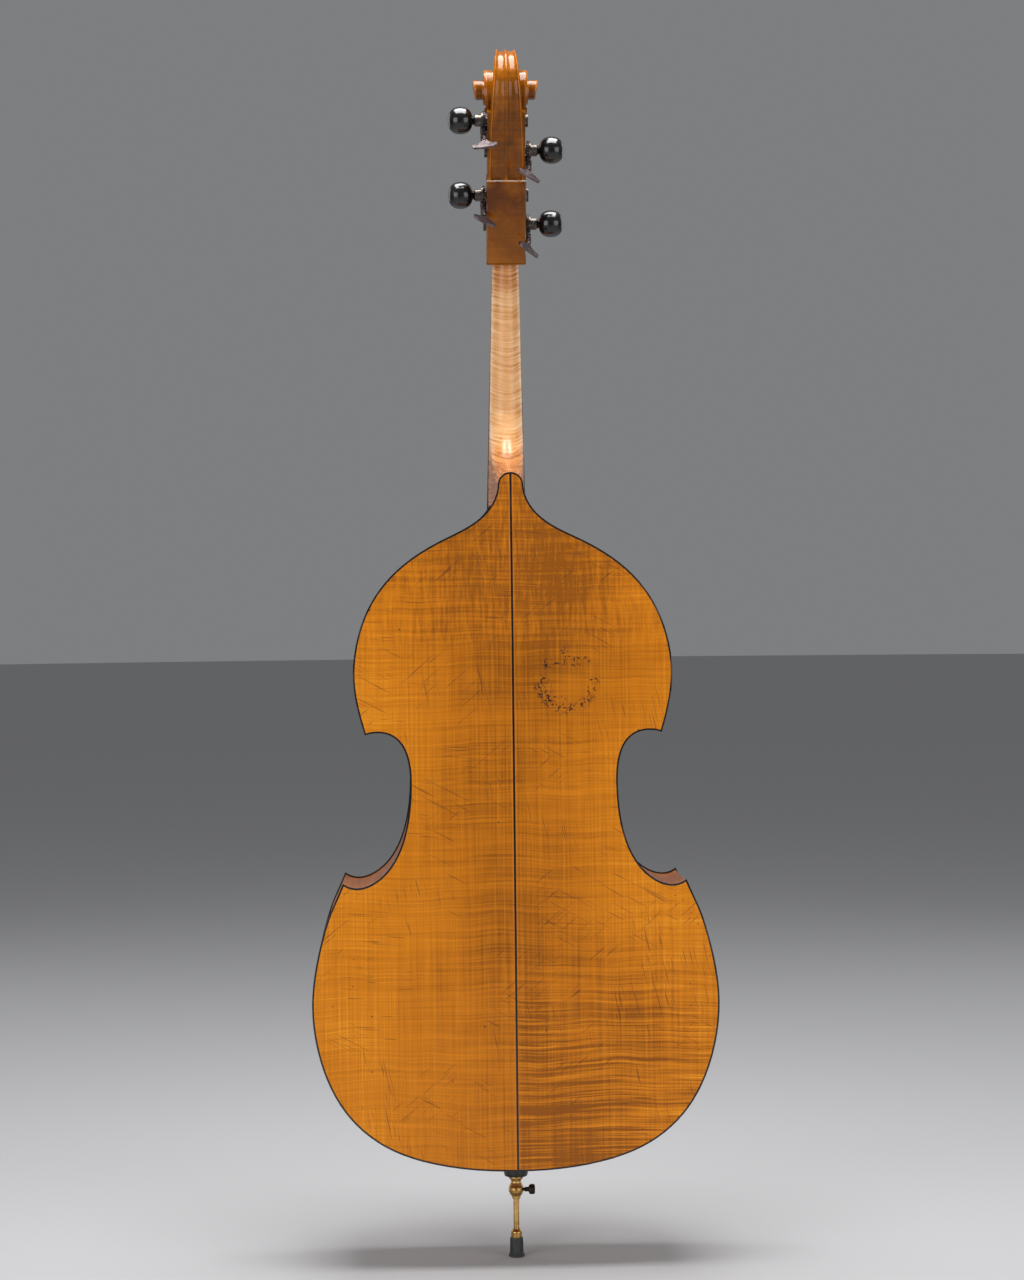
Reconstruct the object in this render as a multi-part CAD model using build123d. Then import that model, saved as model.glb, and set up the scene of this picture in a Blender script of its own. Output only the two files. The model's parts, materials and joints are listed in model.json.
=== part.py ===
from build123d import *
import math
import os

# Double bass, full size, in millimetres.
# +Z runs up the instrument, the strings face -Y and the flat back faces +Y.
# +X is the treble side (G and D machines), -X the bass side (E and A machines).
# The origin is the tip of the endpin's rubber foot.

os.makedirs("parts", exist_ok=True)

# ---------------------------------------------------------------- driving sizes
BODY_Z = 165.0            # bottom of the body above the endpin tip
RIB_FRONT = -96.0         # y of the ribs' front edge
RIB_BACK = 100.0          # y of the ribs' back edge
RIB_T = 2.6               # rib thickness
OVERHANG = 2.5            # plates stand proud of the ribs by this much
BACK_T = 4.0              # flat back plate
TOP_T = 6.0               # carved top plate at its edge
ARCH_T = 7.5              # and over the arch
ARCH = 30.0               # rise of the carved top
BACK_FOLD_Z = 1045.0      # the flat back is folded inwards above this height
BACK_FOLD = math.tan(math.radians(4.5))
BINDING_W = 3.0           # black edge strip round both plates
STRIP_W = 3.6             # black strip in the back's centre joint
JOINT_GAP = 0.01          # half the glue line between two halves
LINING_T = 7.0
LINING_H = 20.0

NECK_TILT = math.radians(10.4)      # glue plane of the fingerboard
NUT_Z = 1700.0
NUT_Y = -59.0
BOARD_LEN = 850.0
HEAD_TILT = math.radians(22.0)      # pegbox leans back
HEAD_Y = -45.0
HEAD_Z = 1704.0
HEAD_W = 64.0             # outside width across the cheeks
BLOCK_W = 67.0            # the prouder lower block of the head
BLOCK_BACK = 36.0
LEDGE_U = 150.0           # the block ends in a ledge at this height along the pegbox
CAVITY_W = 40.0
SCROLL_U = 287.0          # volute's centre, along the pegbox and behind its line
SCROLL_V = -44.0

BRIDGE_Z = 660.0
BRIDGE_Y = -291.0         # crown of the bridge
CROWN_R = 105.0           # radius of the bridge's crown
STRING_NUT_STEP = 10.4
STRING_BRIDGE_STEP = 29.0

GEAR_MODULE = 1.5
GEAR_TEETH = 20
WORM_PITCH_R = 4.8
WORM_ADD = 0.9            # thread height outside the pitch line
WORM_DED = 1.3
TOOTH_SHARE = 0.34        # tooth thickness over pitch: the rest is backlash
KEY_TILT = math.radians(30.0)       # worm keys point back and down
GEAR_X = 37.2             # middle plane of gear and worm
GEAR_T = 5.0
HUB_R = 10.2
HUB_END = 52.0            # outer end of the hub, measured from the centre plane
FLANGE_R = 14.0
FLANGE_T = 2.4
SHANK_R = 4.5             # square-ended shank simplified to a round one
ROLLER_R = 7.0
CAP_R = 11.5
CAP_T = 4.4
RUN_CLEAR = 0.06          # radial clearance of running fits
WIND_R = 9.6              # outside of the string wound on a roller
WIND_W = 9.6
KNOB_R = 23.0
KNOB_HALF = 21.3          # half length of the ball along its axis
KNOB_X = 77.2
KEY_END = 74.0
STEM_R = 3.0
LUG_IN = 12.2             # bearing lugs of the worm's bracket
LUG_OUT = 15.4
LUG_SIDE = 6.0
EAR_END = 16.5
EAR_T = 1.6

PITCH = math.pi * GEAR_MODULE
GEAR_R = GEAR_MODULE * GEAR_TEETH / 2
AXIS_GAP = GEAR_R + WORM_PITCH_R

# name, side, height along the pegbox, angle of the key's paddle, string radius, string column
MACHINES = [
    ("d", 1, 245.6, 98.0, 0.85, 0.5),
    ("a", -1, 193.9, 57.0, 1.10, -0.5),
    ("g", 1, 116.2, 63.0, 0.65, 1.5),
    ("e", -1, 65.5, 50.0, 1.35, -1.5),
]
MACHINE_V = 2.0           # machines sit this far behind the pegbox line
WIND_X = {"e": -13.0, "a": -5.6, "d": 5.6, "g": 13.0}      # where each string meets its roller

parts = {}


# ---------------------------------------------------------------- small helpers
def prism_y(face, y0, y1):
    """Extrude a face drawn as (x, z) from y0 to y1."""
    return extrude(Plane.XZ.offset(-y1) * face, amount=y1 - y0, dir=(0, -1, 0))


def prism_x(face, x0, x1):
    """Extrude a face drawn as (y, z) from x0 to x1."""
    return extrude(Plane.YZ.offset(x0) * face, amount=x1 - x0, dir=(1, 0, 0))


def box(x0, x1, y0, y1, z0, z1):
    """Axis-aligned block between two corners."""
    return Pos((x0 + x1) / 2, (y0 + y1) / 2, (z0 + z1) / 2) * Box(x1 - x0, y1 - y0, z1 - z0)


def bar(a, b, r):
    """Round bar from point a to point b."""
    path = Vector(*b) - Vector(*a)
    bar = Cylinder(r, path.length, align=(Align.CENTER, Align.CENTER, Align.MIN))
    return Plane(origin=a, z_dir=path) * bar


def wire_along(points, radii, r):
    """Round wire along straight runs joined by tangent arcs."""
    path = FilletPolyline(*points, radius=radii)
    section = Plane(origin=path @ 0, z_dir=path % 0) * Circle(r)
    return sweep(section, path=path)


def lathe(profile, plane):
    """Turn a closed (radius, height) outline about the plane's normal."""
    face = make_face(Polyline(*profile, close=True))
    return plane * revolve(Plane.XZ * face, axis=Axis.Z)


def joined(solids):
    """One solid from overlapping pieces."""
    out = solids[0]
    for s in solids[1:]:
        out = out + s
    return out


def group(solids):
    """Several separate solids kept together in one part."""
    flat = []
    for s in solids:
        flat.extend(s.solids())
    return Compound(children=flat)


# ---------------------------------------------------------------- outline
def lift(points):
    return [(x, z + BODY_Z) for x, z in points]


LOWER_BOUT = lift([(0, 0), (130, 12), (217, 42), (282, 96), (330, 196), (341, 276), (332, 357), (309, 437),
                   (287.5, 485)])
WAIST = lift([(287.5, 485), (262, 477), (228, 491), (199.5, 525), (181, 577), (174, 640), (178, 692),
              (190, 718), (205, 730.5), (226, 735.5), (248.5, 732)])
UPPER_BOUT = lift([(248.5, 732), (261, 778), (267.5, 828), (263, 878), (244, 938), (202, 998), (151, 1038),
                   (114.5, 1058), (73.5, 1078.5), (41, 1104), (28, 1123.6), (21.5, 1149)])
BUTTON_R = 21.5
BUTTON_Z = BODY_Z + 1149


def curve(points, tangents=None):
    """Spline through (x, z) points."""
    return Edge.make_spline([Vector(*p) for p in points], tangents=tangents)


OUTLINE_EDGES = [curve(LOWER_BOUT, [Vector(1, 0), Vector(-0.42, 1)]), curve(WAIST), curve(UPPER_BOUT)]


def inner_points(edge, d):
    """Points every 10 mm or so along an outline edge, moved inside by d."""
    n = round(edge.length / 10)
    points = []
    for i in range(n + 1):
        p = edge.position_at(i / n)
        t = edge.tangent_at(i / n)
        points.append((p.X - d * t.Y, p.Y + d * t.X))
    return points


def crossing(a, b):
    """Indices and place where two point lists cross, searched from the end of a and the start of b."""
    for i in range(len(a) - 2, -1, -1):
        for j in range(len(b) - 1):
            (x1, z1), (x2, z2) = a[i], a[i + 1]
            (x3, z3), (x4, z4) = b[j], b[j + 1]
            den = (x2 - x1) * (z4 - z3) - (z2 - z1) * (x4 - x3)
            if abs(den) < 1e-9:
                continue
            s = ((x3 - x1) * (z4 - z3) - (z3 - z1) * (x4 - x3)) / den
            t = ((x3 - x1) * (z2 - z1) - (z3 - z1) * (x2 - x1)) / den
            if 0 <= s <= 1 and 0 <= t <= 1:
                return i, j, (x1 + s * (x2 - x1), z1 + s * (z2 - z1))
    raise ValueError("the outline's corners don't meet")


def clear_end(points, place, keep_start):
    """Drop a point that lies almost on the corner, so that the curve stays smooth."""
    if keep_start and math.dist(points[-1], place) < 3:
        points = points[:-1]
    if not keep_start and math.dist(points[0], place) < 3:
        points = points[1:]
    return points


def inset(d):
    """Face inside the plates' outline by d."""
    lower, waist, upper = [inner_points(e, d) for e in OUTLINE_EDGES]
    if d == 0:
        low, up = lower[-1], waist[-1]
    else:
        i, j, low = crossing(lower, waist)
        lower = clear_end(lower[:i + 1], low, True) + [low]
        waist = [low] + clear_end(waist[j + 1:], low, False)
        i, j, up = crossing(waist, upper)
        waist = clear_end(waist[:i + 1], up, True) + [up]
        upper = [up] + clear_end(upper[j + 1:], up, False)
    right = [curve(run) for run in (lower, waist, upper)]
    r = BUTTON_R - d
    shoulder = Vector(*upper[-1])
    cap = Edge.make_three_point_arc(shoulder, Vector(0, BUTTON_Z + r), Vector(-shoulder.X, shoulder.Y))
    return Face(Wire(right + [cap] + [e.mirror(Plane.YZ) for e in right])), low, up


def inset_face(d):
    return inset(d)[0]


WHOLE = inset_face(0)
IN_BINDING = inset_face(BINDING_W)
RIB_OUT = inset_face(OVERHANG)
RIB_IN, LOW_CORNER, UP_CORNER = inset(OVERHANG + RIB_T)
LINING_IN = inset_face(OVERHANG + RIB_T + LINING_T)


def back_y(z):
    """Inner face of the back at height z."""
    return RIB_BACK - BACK_FOLD * max(0.0, z - BACK_FOLD_Z)


TOP_END = 1400.0
CUT_X = 400.0             # cutting blocks reach this far to each side
BELOW = 100.0             # and down to this height
back_slab = prism_x(Polygon(
    (RIB_BACK, BELOW), (RIB_BACK + BACK_T, BELOW), (RIB_BACK + BACK_T, BACK_FOLD_Z),
    (back_y(TOP_END) + BACK_T, TOP_END), (back_y(TOP_END), TOP_END), (RIB_BACK, BACK_FOLD_Z),
    align=None), -CUT_X, CUT_X)
inside_zone = prism_x(Polygon(
    (RIB_FRONT, BELOW), (RIB_BACK, BELOW), (RIB_BACK, BACK_FOLD_Z), (back_y(TOP_END), TOP_END),
    (RIB_FRONT, TOP_END), align=None), -CUT_X, CUT_X)


# ---------------------------------------------------------------- neck
def neck_frame(t):
    """Plane across the neck, t below the nut: local x across, local y backwards."""
    origin = (0, NUT_Y - t * math.sin(NECK_TILT), NUT_Z - t * math.cos(NECK_TILT))
    return Plane(origin=origin, x_dir=(1, 0, 0), z_dir=(0, math.sin(NECK_TILT), math.cos(NECK_TILT)))


def neck_section(t, half, depth):
    """Rounded neck back below the flat glue face."""
    side = 3.0
    shoulder_x = 0.74 * half
    shoulder_y = 0.72 * depth
    back = Spline((-half, side), (-shoulder_x, shoulder_y), (0, depth), (shoulder_x, shoulder_y),
                  (half, side), tangents=[(0, 1), (0, -1)])
    face = make_face(back + Polyline((half, side), (half, 0), (-half, 0), (-half, side)))
    return neck_frame(t) * face


HEAD = Plane(origin=(0, HEAD_Y, HEAD_Z), x_dir=(0, math.cos(HEAD_TILT), -math.sin(HEAD_TILT)),
             z_dir=(1, 0, 0))
below_head = HEAD * (Pos(0, -250, 0) * Box(400, 500, 400))

# Distance below the nut, half width and depth of the shaft.
SHAFT = [(-30, 22.8, 27), (0, 23, 27), (210, 27.5, 28.5), (440, 32.5, 32)]
shaft = loft([neck_section(t, half, depth) for t, half, depth in SHAFT], ruled=True) & below_head

HEEL_BOTTOM = 1245.0
HEEL_TOP = 1425.0
HEEL_HALF = 33.0          # half width of the heel at the front
HEEL_TIP = 1336.0         # the heel's back edge meets the back plate here
heel_plan = Polygon((-HEEL_HALF, -160), (HEEL_HALF, -160), (BUTTON_R, 60), (BUTTON_R, 110), (-BUTTON_R, 110),
                    (-BUTTON_R, 60), align=None)
heel_block = Pos(0, 0, HEEL_BOTTOM) * extrude(heel_plan, amount=HEEL_TOP - HEEL_BOTTOM)
heel_curve = Spline((back_y(HEEL_TIP), HEEL_TIP), (35, 1343), (-20, 1360), (-58, 1391), (-76, HEEL_TOP))
heel_side = make_face(heel_curve + Polyline(
    (-76, HEEL_TOP), (-170, HEEL_TOP), (-170, HEEL_BOTTOM), (back_y(HEEL_BOTTOM), HEEL_BOTTOM),
    (back_y(HEEL_TIP), HEEL_TIP)))
behind_board = neck_frame(0) * (Pos(0, 250, 0) * Box(400, 500, 2000))
heel = heel_block & prism_x(heel_side, -60, 60) & behind_board
neck = shaft + heel
parts["neck"] = neck


# ---------------------------------------------------------------- back
back_whole = prism_y(IN_BINDING, 40, 110) & back_slab
centre_cut = box(-STRIP_W / 2, STRIP_W / 2, 0, 120, 100, TOP_END)
back_halves = back_whole - centre_cut
for half in back_halves.solids():
    parts["back_treble" if half.center().X > 0 else "back_bass"] = half
parts["back_strip"] = back_whole & centre_cut
back_binding = (prism_y(WHOLE, 40, 110) - prism_y(IN_BINDING, 40, 110)) & back_slab


# ---------------------------------------------------------------- carved top
# Half width that the arch springs from, by height above the body's bottom.
ARCH_WIDTH = [(0, 150), (110, 275), (276, 328), (450, 270), (560, 182), (650, 168), (740, 190),
              (850, 252), (1000, 190), (1125, 60)]
ARCH_LEN = 1050.0
ARCH_RUN = 420.0          # the arch takes this long to rise from either end


def arch_width(zb):
    """Eased interpolation between the widths above."""
    for (z0, w0), (z1, w1) in zip(ARCH_WIDTH, ARCH_WIDTH[1:]):
        if zb <= z1:
            t = max(0.0, (zb - z0) / (z1 - z0))
            return w0 + (w1 - w0) * (1 - math.cos(math.pi * t)) / 2
    return ARCH_WIDTH[-1][1]


def arch(x, z):
    """Rise of the top plate above its edge at (x, z)."""
    zb = z - BODY_Z
    if not 0 < zb < ARCH_LEN:
        return 0.0
    across = abs(x) / arch_width(zb)
    if across >= 1:
        return 0.0
    along = max(0.0, 1 - min(zb, ARCH_LEN - zb) / ARCH_RUN)
    return ARCH * (1 - along ** 2) ** 2 * (1 - across ** 2) ** 2


def arch_block(y_edge, depth):
    """Solid behind the arched surface whose edge lies at y_edge."""
    xs = [-360 + 30 * i for i in range(25)]
    zs = [120 + 30 * j for j in range(42)]
    grid = [[Vector(x, y_edge - arch(x, z), z) for z in zs] for x in xs]
    surface = Face.make_surface_from_array_of_points(grid, tol=0.05)
    return Solid.extrude(surface, Vector(0, depth, 0))


outer_arch = arch_block(RIB_FRONT - TOP_T, 60)
arch_shell = arch_block(RIB_FRONT - TOP_T, ARCH_T)
inner_arch = arch_block(RIB_FRONT - TOP_T + ARCH_T, 60)


def f_hole():
    """Treble side's sound hole: two round lobes joined by a curved slot, as a flat (x, z) face."""
    stem = Spline((67, BRIDGE_Z + 96), (85, BRIDGE_Z + 72), (92, BRIDGE_Z), (99, BRIDGE_Z - 74),
                  (117, BRIDGE_Z - 98), tangents=[(1, 0.25), (1, 0.25)])
    top_lobe = Pos(58, BRIDGE_Z + 88) * Circle(11)
    low_lobe = Pos(126, BRIDGE_Z - 92) * Circle(15)
    notches = Pos(92, BRIDGE_Z) * Rectangle(13.5, 2.4)
    return trace(stem, line_width=9) + top_lobe + low_lobe + notches


top_edge = prism_y(WHOLE, RIB_FRONT - TOP_T, RIB_FRONT) - prism_y(IN_BINDING, RIB_FRONT - TOP_T, RIB_FRONT)
treble_plan = IN_BINDING & Pos(250, 750) * Rectangle(500 - 2 * JOINT_GAP, 1500)
top_half = (prism_y(treble_plan, -150, RIB_FRONT) & arch_shell) - neck - prism_y(f_hole(), -160, -80)
parts["top_treble"] = top_half
parts["top_bass"] = mirror(top_half, Plane.YZ)
parts["binding"] = group([back_binding, top_edge - neck])


# ---------------------------------------------------------------- ribs, linings and blocks
ENDPIN_SHANK_R = 13.0
pin_hole = Pos(0, 0, BODY_Z + 30) * Cylinder(ENDPIN_SHANK_R, 120)

low_x, low_z = LOW_CORNER
up_x, up_z = UP_CORNER
waist_half = Polygon((0, low_z - 45), (low_x + 19, low_z - 45), (low_x - 8.4, low_z + 20), (up_x, up_z - 20),
                     (up_x, up_z + 25), (0, up_z + 25), align=None)
waist_zone = waist_half + mirror(waist_half, Plane.YZ)
rib_ring = RIB_OUT - RIB_IN
MID_Z = (low_z + up_z) / 2
upper_zone = Pos(0, MID_Z + 500) * Rectangle(1000, 1000)
lower_zone = Pos(0, MID_Z - 500) * Rectangle(1000, 1000)
rib_faces = {
    "waist": rib_ring & waist_zone,
    "upper": (rib_ring - waist_zone) & upper_zone,
    "lower": (rib_ring - waist_zone) & lower_zone,
}
half_gap = box(-JOINT_GAP, JOINT_GAP, -200, 200, 100, 1500)
for name, face in rib_faces.items():
    band = prism_y(face, RIB_FRONT, RIB_BACK)
    if name == "upper":
        band = (band & inside_zone) - neck
    if name == "lower":
        band = band - pin_hole - half_gap
    for side, tag in ((1, "treble"), (-1, "bass")):
        parts[f"rib_{name}_{tag}"] = Compound(children=[s for s in band.solids() if s.center().X * side > 0])

low_tri = Polygon((low_x + 30, low_z - 95), (low_x + 30, low_z + 30), (low_x - 75, low_z + 30),
                  (low_x - 75, low_z - 8), align=None)
up_tri = Polygon((up_x + 30, up_z + 90), (up_x + 30, up_z - 20), (up_x - 62, up_z - 20),
                 (up_x - 62, up_z + 12), align=None)
corner_faces = [RIB_IN & f for f in (low_tri, mirror(low_tri, Plane.YZ), up_tri, mirror(up_tri, Plane.YZ))]
corner_blocks = [prism_y(f, RIB_FRONT, RIB_BACK) for f in corner_faces]
parts["corner_blocks"] = group(corner_blocks)

end_face = RIB_IN & Pos(0, BODY_Z + 20) * Rectangle(130, 40)
end_block = prism_y(end_face, RIB_FRONT, RIB_BACK) - pin_hole
parts["end_block"] = end_block
neck_block_face = RIB_IN & Pos(0, 1225) * Rectangle(170, 110)
neck_block = (prism_y(neck_block_face, RIB_FRONT, RIB_BACK) & inside_zone) - neck
parts["neck_block"] = neck_block

lining_band = prism_y(RIB_IN - LINING_IN, RIB_FRONT, RIB_BACK) & inside_zone
back_edge = prism_x(Polygon(
    (RIB_BACK - LINING_H, BELOW), (RIB_BACK, BELOW), (RIB_BACK, BACK_FOLD_Z), (back_y(TOP_END), TOP_END),
    (back_y(TOP_END) - LINING_H, TOP_END), (RIB_BACK - LINING_H, BACK_FOLD_Z), align=None), -CUT_X, CUT_X)
front_edge = box(-CUT_X, CUT_X, RIB_FRONT, RIB_FRONT + LINING_H, BELOW, TOP_END)
end_blocks = [prism_y(face, RIB_FRONT, RIB_BACK) for face in (end_face, neck_block_face)]
linings = []
for edge in (back_edge, front_edge):
    strip = lining_band & edge
    for block in corner_blocks + end_blocks:
        strip = strip - block
    strip = strip - neck
    linings.extend(strip.solids())
parts["linings"] = group(linings)

# Flat back: cross braces glued between the linings, the widest one under the sound post.
BRACES = [(300, 24, 24), (470, 22, 24), (645, 60, 16), (835, 22, 24), (BACK_FOLD_Z, 26, 26), (1150, 20, 20)]
braces = []
for z, w, h in BRACES:
    strip = prism_y(LINING_IN & Pos(0, z) * Rectangle(800, w), RIB_FRONT, RIB_BACK) & inside_zone
    inner = box(-CUT_X, CUT_X, back_y(z) - h, RIB_BACK + 5, z - 60, z + 60)
    brace = strip & inner
    for block in corner_blocks:
        brace = brace - block
    braces.append(brace)
parts["back_braces"] = group(braces)

BASS_BAR_X = -50.0
bass_bar_side = make_face(Spline((-95, 320), (-88, 500), (-86, BRIDGE_Z), (-88, 830), (-95, 1040))
                          + Polyline((-95, 1040), (-150, 1040), (-150, 320), (-95, 320)))
parts["bass_bar"] = prism_x(bass_bar_side, BASS_BAR_X - 10, BASS_BAR_X + 10) & inner_arch

POST_X = 50.0
POST_Z = 645.0
POST_R = 9.0
POST_BACK = RIB_BACK - 16          # rests on the middle brace
post = bar((POST_X, -150, POST_Z), (POST_X, POST_BACK, POST_Z), POST_R) & inner_arch
post += bar((POST_X, RIB_FRONT + 30, POST_Z), (POST_X, POST_BACK, POST_Z), POST_R)
parts["sound_post"] = post


# ---------------------------------------------------------------- strings
def nut_top(x):
    """Height of the nut's crown above the glue plane."""
    return 16.5 - x * x / (2 * 60)


def string_points(column, radius):
    """Centre of a string at the bridge and at the nut."""
    xn = column * STRING_NUT_STEP
    xb = column * STRING_BRIDGE_STEP
    bridge = Vector(xb, BRIDGE_Y + xb * xb / (2 * CROWN_R) - radius * 0.3, BRIDGE_Z)
    nut = (neck_frame(-3) * Pos(xn, -(nut_top(xn) + radius * 0.4), 0)).position
    return bridge, nut


TAIL_END = Vector(0, -120.5, 172.5)
TAIL_TOP = Vector(0, BRIDGE_Y + 6, BRIDGE_Z)
TAIL_DIR = (TAIL_END - TAIL_TOP).normalized()
AFTERLENGTH = 165.0
TAIL_LEN = 300.0


def tail_frame(t):
    """Plane across the tailpiece, t below the bridge: local x across, local y outwards to the front."""
    return Plane(origin=TAIL_TOP + TAIL_DIR * t, x_dir=(-1, 0, 0), z_dir=TAIL_DIR)


strings = {}
for name, side, u, _, radius, column in MACHINES:
    bridge_pt, nut_pt = string_points(column, radius)
    wind_x = WIND_X[name]
    roll = HEAD.from_local_coords(Vector(MACHINE_V, u, 0))
    reach = WIND_R + radius + 0.35
    to_roll = Vector(0, roll.Y - nut_pt.Y, roll.Z - nut_pt.Z)
    gap = to_roll.length
    swing = math.asin(reach / gap)
    along = math.sqrt(gap * gap - reach * reach)
    base = math.atan2(to_roll.Y, to_roll.Z)
    direction = Vector(0, math.sin(base - swing), math.cos(base - swing))
    touch = nut_pt + direction * along
    touch = Vector(wind_x, touch.Y, touch.Z)
    tail_pt = (tail_frame(AFTERLENGTH + 14) * Pos(-column * 21.0, 0, 0)).position
    points = [tuple(tail_pt), tuple(bridge_pt), tuple(nut_pt), tuple(touch)]
    strings[name] = wire_along(points, [12, 8], radius)
    parts[f"string_{name}"] = strings[name]


def without_strings(solid):
    for s in strings.values():
        solid = solid - s
    return solid


# ---------------------------------------------------------------- fingerboard, nut, bridge
def board_section(t, half, centre, edge):
    curve = ThreePointArc((-half, -edge), (0, -centre), (half, -edge))
    face = make_face(curve + Polyline((half, -edge), (half, 0), (-half, 0), (-half, -edge)))
    return neck_frame(t) * face


board_ends = [board_section(0, 22.8, 14, 9.5), board_section(BOARD_LEN, 44.5, 23, 10)]
parts["fingerboard"] = loft(board_ends, ruled=True)

nut_face = make_face(ThreePointArc((-22.8, -12), (0, -16.5), (22.8, -12))
                     + Polyline((22.8, -12), (22.8, 0), (-22.8, 0), (-22.8, -12)))
nut = loft([neck_frame(0) * nut_face, neck_frame(-7) * nut_face], ruled=True)
parts["nut"] = without_strings(nut)


def bridge_half():
    """Right half of the bridge's front view as (x, height in front of y = 0)."""
    foot = 102 + arch(63, BRIDGE_Z) - 3
    crown = -BRIDGE_Y
    shoulder = crown - 11.5
    inner = Spline((46, foot + 12), (41, foot + 34), (22, foot + 55), (0, foot + 60),
                   tangents=[(0, 1), (-1, 0)])
    sole = Polyline((46, foot + 12), (46, foot), (79, foot), (79, foot + 13), (70, foot + 26))
    waist = Spline((70, foot + 26), (67, foot + 52), (54, foot + 72), (63, foot + 96), (56, shoulder),
                   tangents=[(0, 1), (-0.35, 1)])
    top = ThreePointArc((56, shoulder), (29, crown - 4.0), (0, crown))
    return make_face(inner + sole + waist + top + Line((0, crown), (0, foot + 60)))


half_bridge = bridge_half()
heart = Pos(0, 236) * Ellipse(13, 17)
eye = Pos(33, 222) * Ellipse(11, 15)
bridge_face = half_bridge + mirror(half_bridge, Plane.YZ) - heart - eye - mirror(eye, Plane.YZ)
bridge = extrude(Pos(0, 0, BRIDGE_Z - 15) * mirror(bridge_face, Plane.XZ), amount=30)
bridge_wedge = prism_x(Polygon((-100, BRIDGE_Z - 11), (-100, BRIDGE_Z + 11), (-300, BRIDGE_Z + 3.4),
                               (-300, BRIDGE_Z - 3.4), align=None), -120, 120)
bridge = (bridge & bridge_wedge) - (prism_y(WHOLE, -150, RIB_FRONT) & outer_arch)
parts["bridge"] = without_strings(bridge)

# ---------------------------------------------------------------- tailpiece, saddle and tail wire
def tail_section(t, half, thick, crown):
    edge = thick / 2
    arc = ThreePointArc((-half, edge), (0, edge + crown), (half, edge))
    face = make_face(arc + Polyline((half, edge), (half, -edge), (-half, -edge), (-half, edge)))
    return tail_frame(t) * face


tail_ends = [tail_section(AFTERLENGTH, 43, 10, 9), tail_section(AFTERLENGTH + TAIL_LEN, 24, 9, 6)]
tailpiece = loft(tail_ends, ruled=True)
tailpiece = without_strings(tailpiece)

WIRE_R = 1.75
GROOVE_R = 14.5
WIRE_Z = BODY_Z - WIRE_R - 0.4
tail_hook = tail_frame(AFTERLENGTH + TAIL_LEN - 18)
wire_hole_x = 11.0
loop_x = GROOVE_R + WIRE_R
wire_side = [tuple((tail_hook * Pos(-wire_hole_x, 0, 0)).position), (wire_hole_x + 1, -120.5, 173.0),
             (wire_hole_x + 1.5, -113.0, WIRE_Z), (loop_x, 0, WIRE_Z), (loop_x, loop_x, WIRE_Z)]
wire_points = [(-x, y, z) for x, y, z in wire_side] + list(reversed(wire_side))
wire_radii = [3.0, 6.0, 40.0, loop_x - 0.2]
tail_wire = wire_along(wire_points, wire_radii + list(reversed(wire_radii)), WIRE_R)
parts["tail_wire"] = tail_wire
parts["tailpiece"] = tailpiece - tail_wire
saddle_face = make_face(Spline((-25, 172), (-14, 175.5), (0, 176), (14, 175.5), (25, 172))
                        + Polyline((25, 172), (25, 168), (-25, 168), (-25, 172)))
saddle = prism_y(saddle_face, -118.5, RIB_FRONT - TOP_T - 0.1)
parts["saddle"] = (saddle - (prism_y(WHOLE, -150, RIB_FRONT) & outer_arch)) - tail_wire

# ---------------------------------------------------------------- endpin
ROD_R = 5.0
PIN_BORE = ROD_R + RUN_CLEAR
PLUG_BOTTOM = 138.0
PLUG_R = 20.5
PLUG_LEN = 48.0           # the plug's shank reaches this far up into the end block
SHOULDER_Z = BODY_Z - 0.05
plug_outline = [(PIN_BORE, PLUG_BOTTOM), (PLUG_R - 1.5, PLUG_BOTTOM), (PLUG_R, PLUG_BOTTOM + 4),
                (PLUG_R, 154), (PLUG_R - 1.5, 158), (GROOVE_R, 158), (GROOVE_R, SHOULDER_Z),
                (ENDPIN_SHANK_R, SHOULDER_Z), (ENDPIN_SHANK_R, BODY_Z + PLUG_LEN),
                (PIN_BORE, BODY_Z + PLUG_LEN)]
parts["endpin_plug"] = lathe(plug_outline, Plane.XY)
collar_outline = [(PIN_BORE, 99), (7.0, 99), (7.6, 101), (7.6, 103), (9.5, 105), (12.2, 110), (13.0, 114),
                  (12.6, 118), (10.6, 122), (8.8, 126), (8.6, 129), (10.4, 132), (12.4, 134), (12.9, 136),
                  (12.4, PLUG_BOTTOM), (PIN_BORE, PLUG_BOTTOM)]
SCREW_Z = 114.0
SCREW_R = 2.5
collar = lathe(collar_outline, Plane.XY)
collar -= bar((-30, 0, SCREW_Z), (0, 0, SCREW_Z), SCREW_R + RUN_CLEAR)
parts["endpin_collar"] = collar
screw_plane = Plane(origin=(0, 0, SCREW_Z), z_dir=(-1, 0, 0))
SCREW_GAP = 0.15          # the clamp screw's tip stops just short of the rod
screw = lathe([(0, ROD_R + SCREW_GAP), (SCREW_R, ROD_R + SCREW_GAP), (SCREW_R, 14.5), (3.9, 14.5), (3.9, 21),
               (7.4, 22.5), (8.6, 24.5), (8.6, 30), (7.2, 32), (0, 32.6)], screw_plane)
knurls = [screw_plane * Pos(9.0 * math.cos(a), 9.0 * math.sin(a), 27.5) * Cylinder(0.8, 8)
          for a in [2 * math.pi * i / 18 for i in range(18)]]
for k in knurls:
    screw = screw - k
parts["endpin_screw"] = screw

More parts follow.
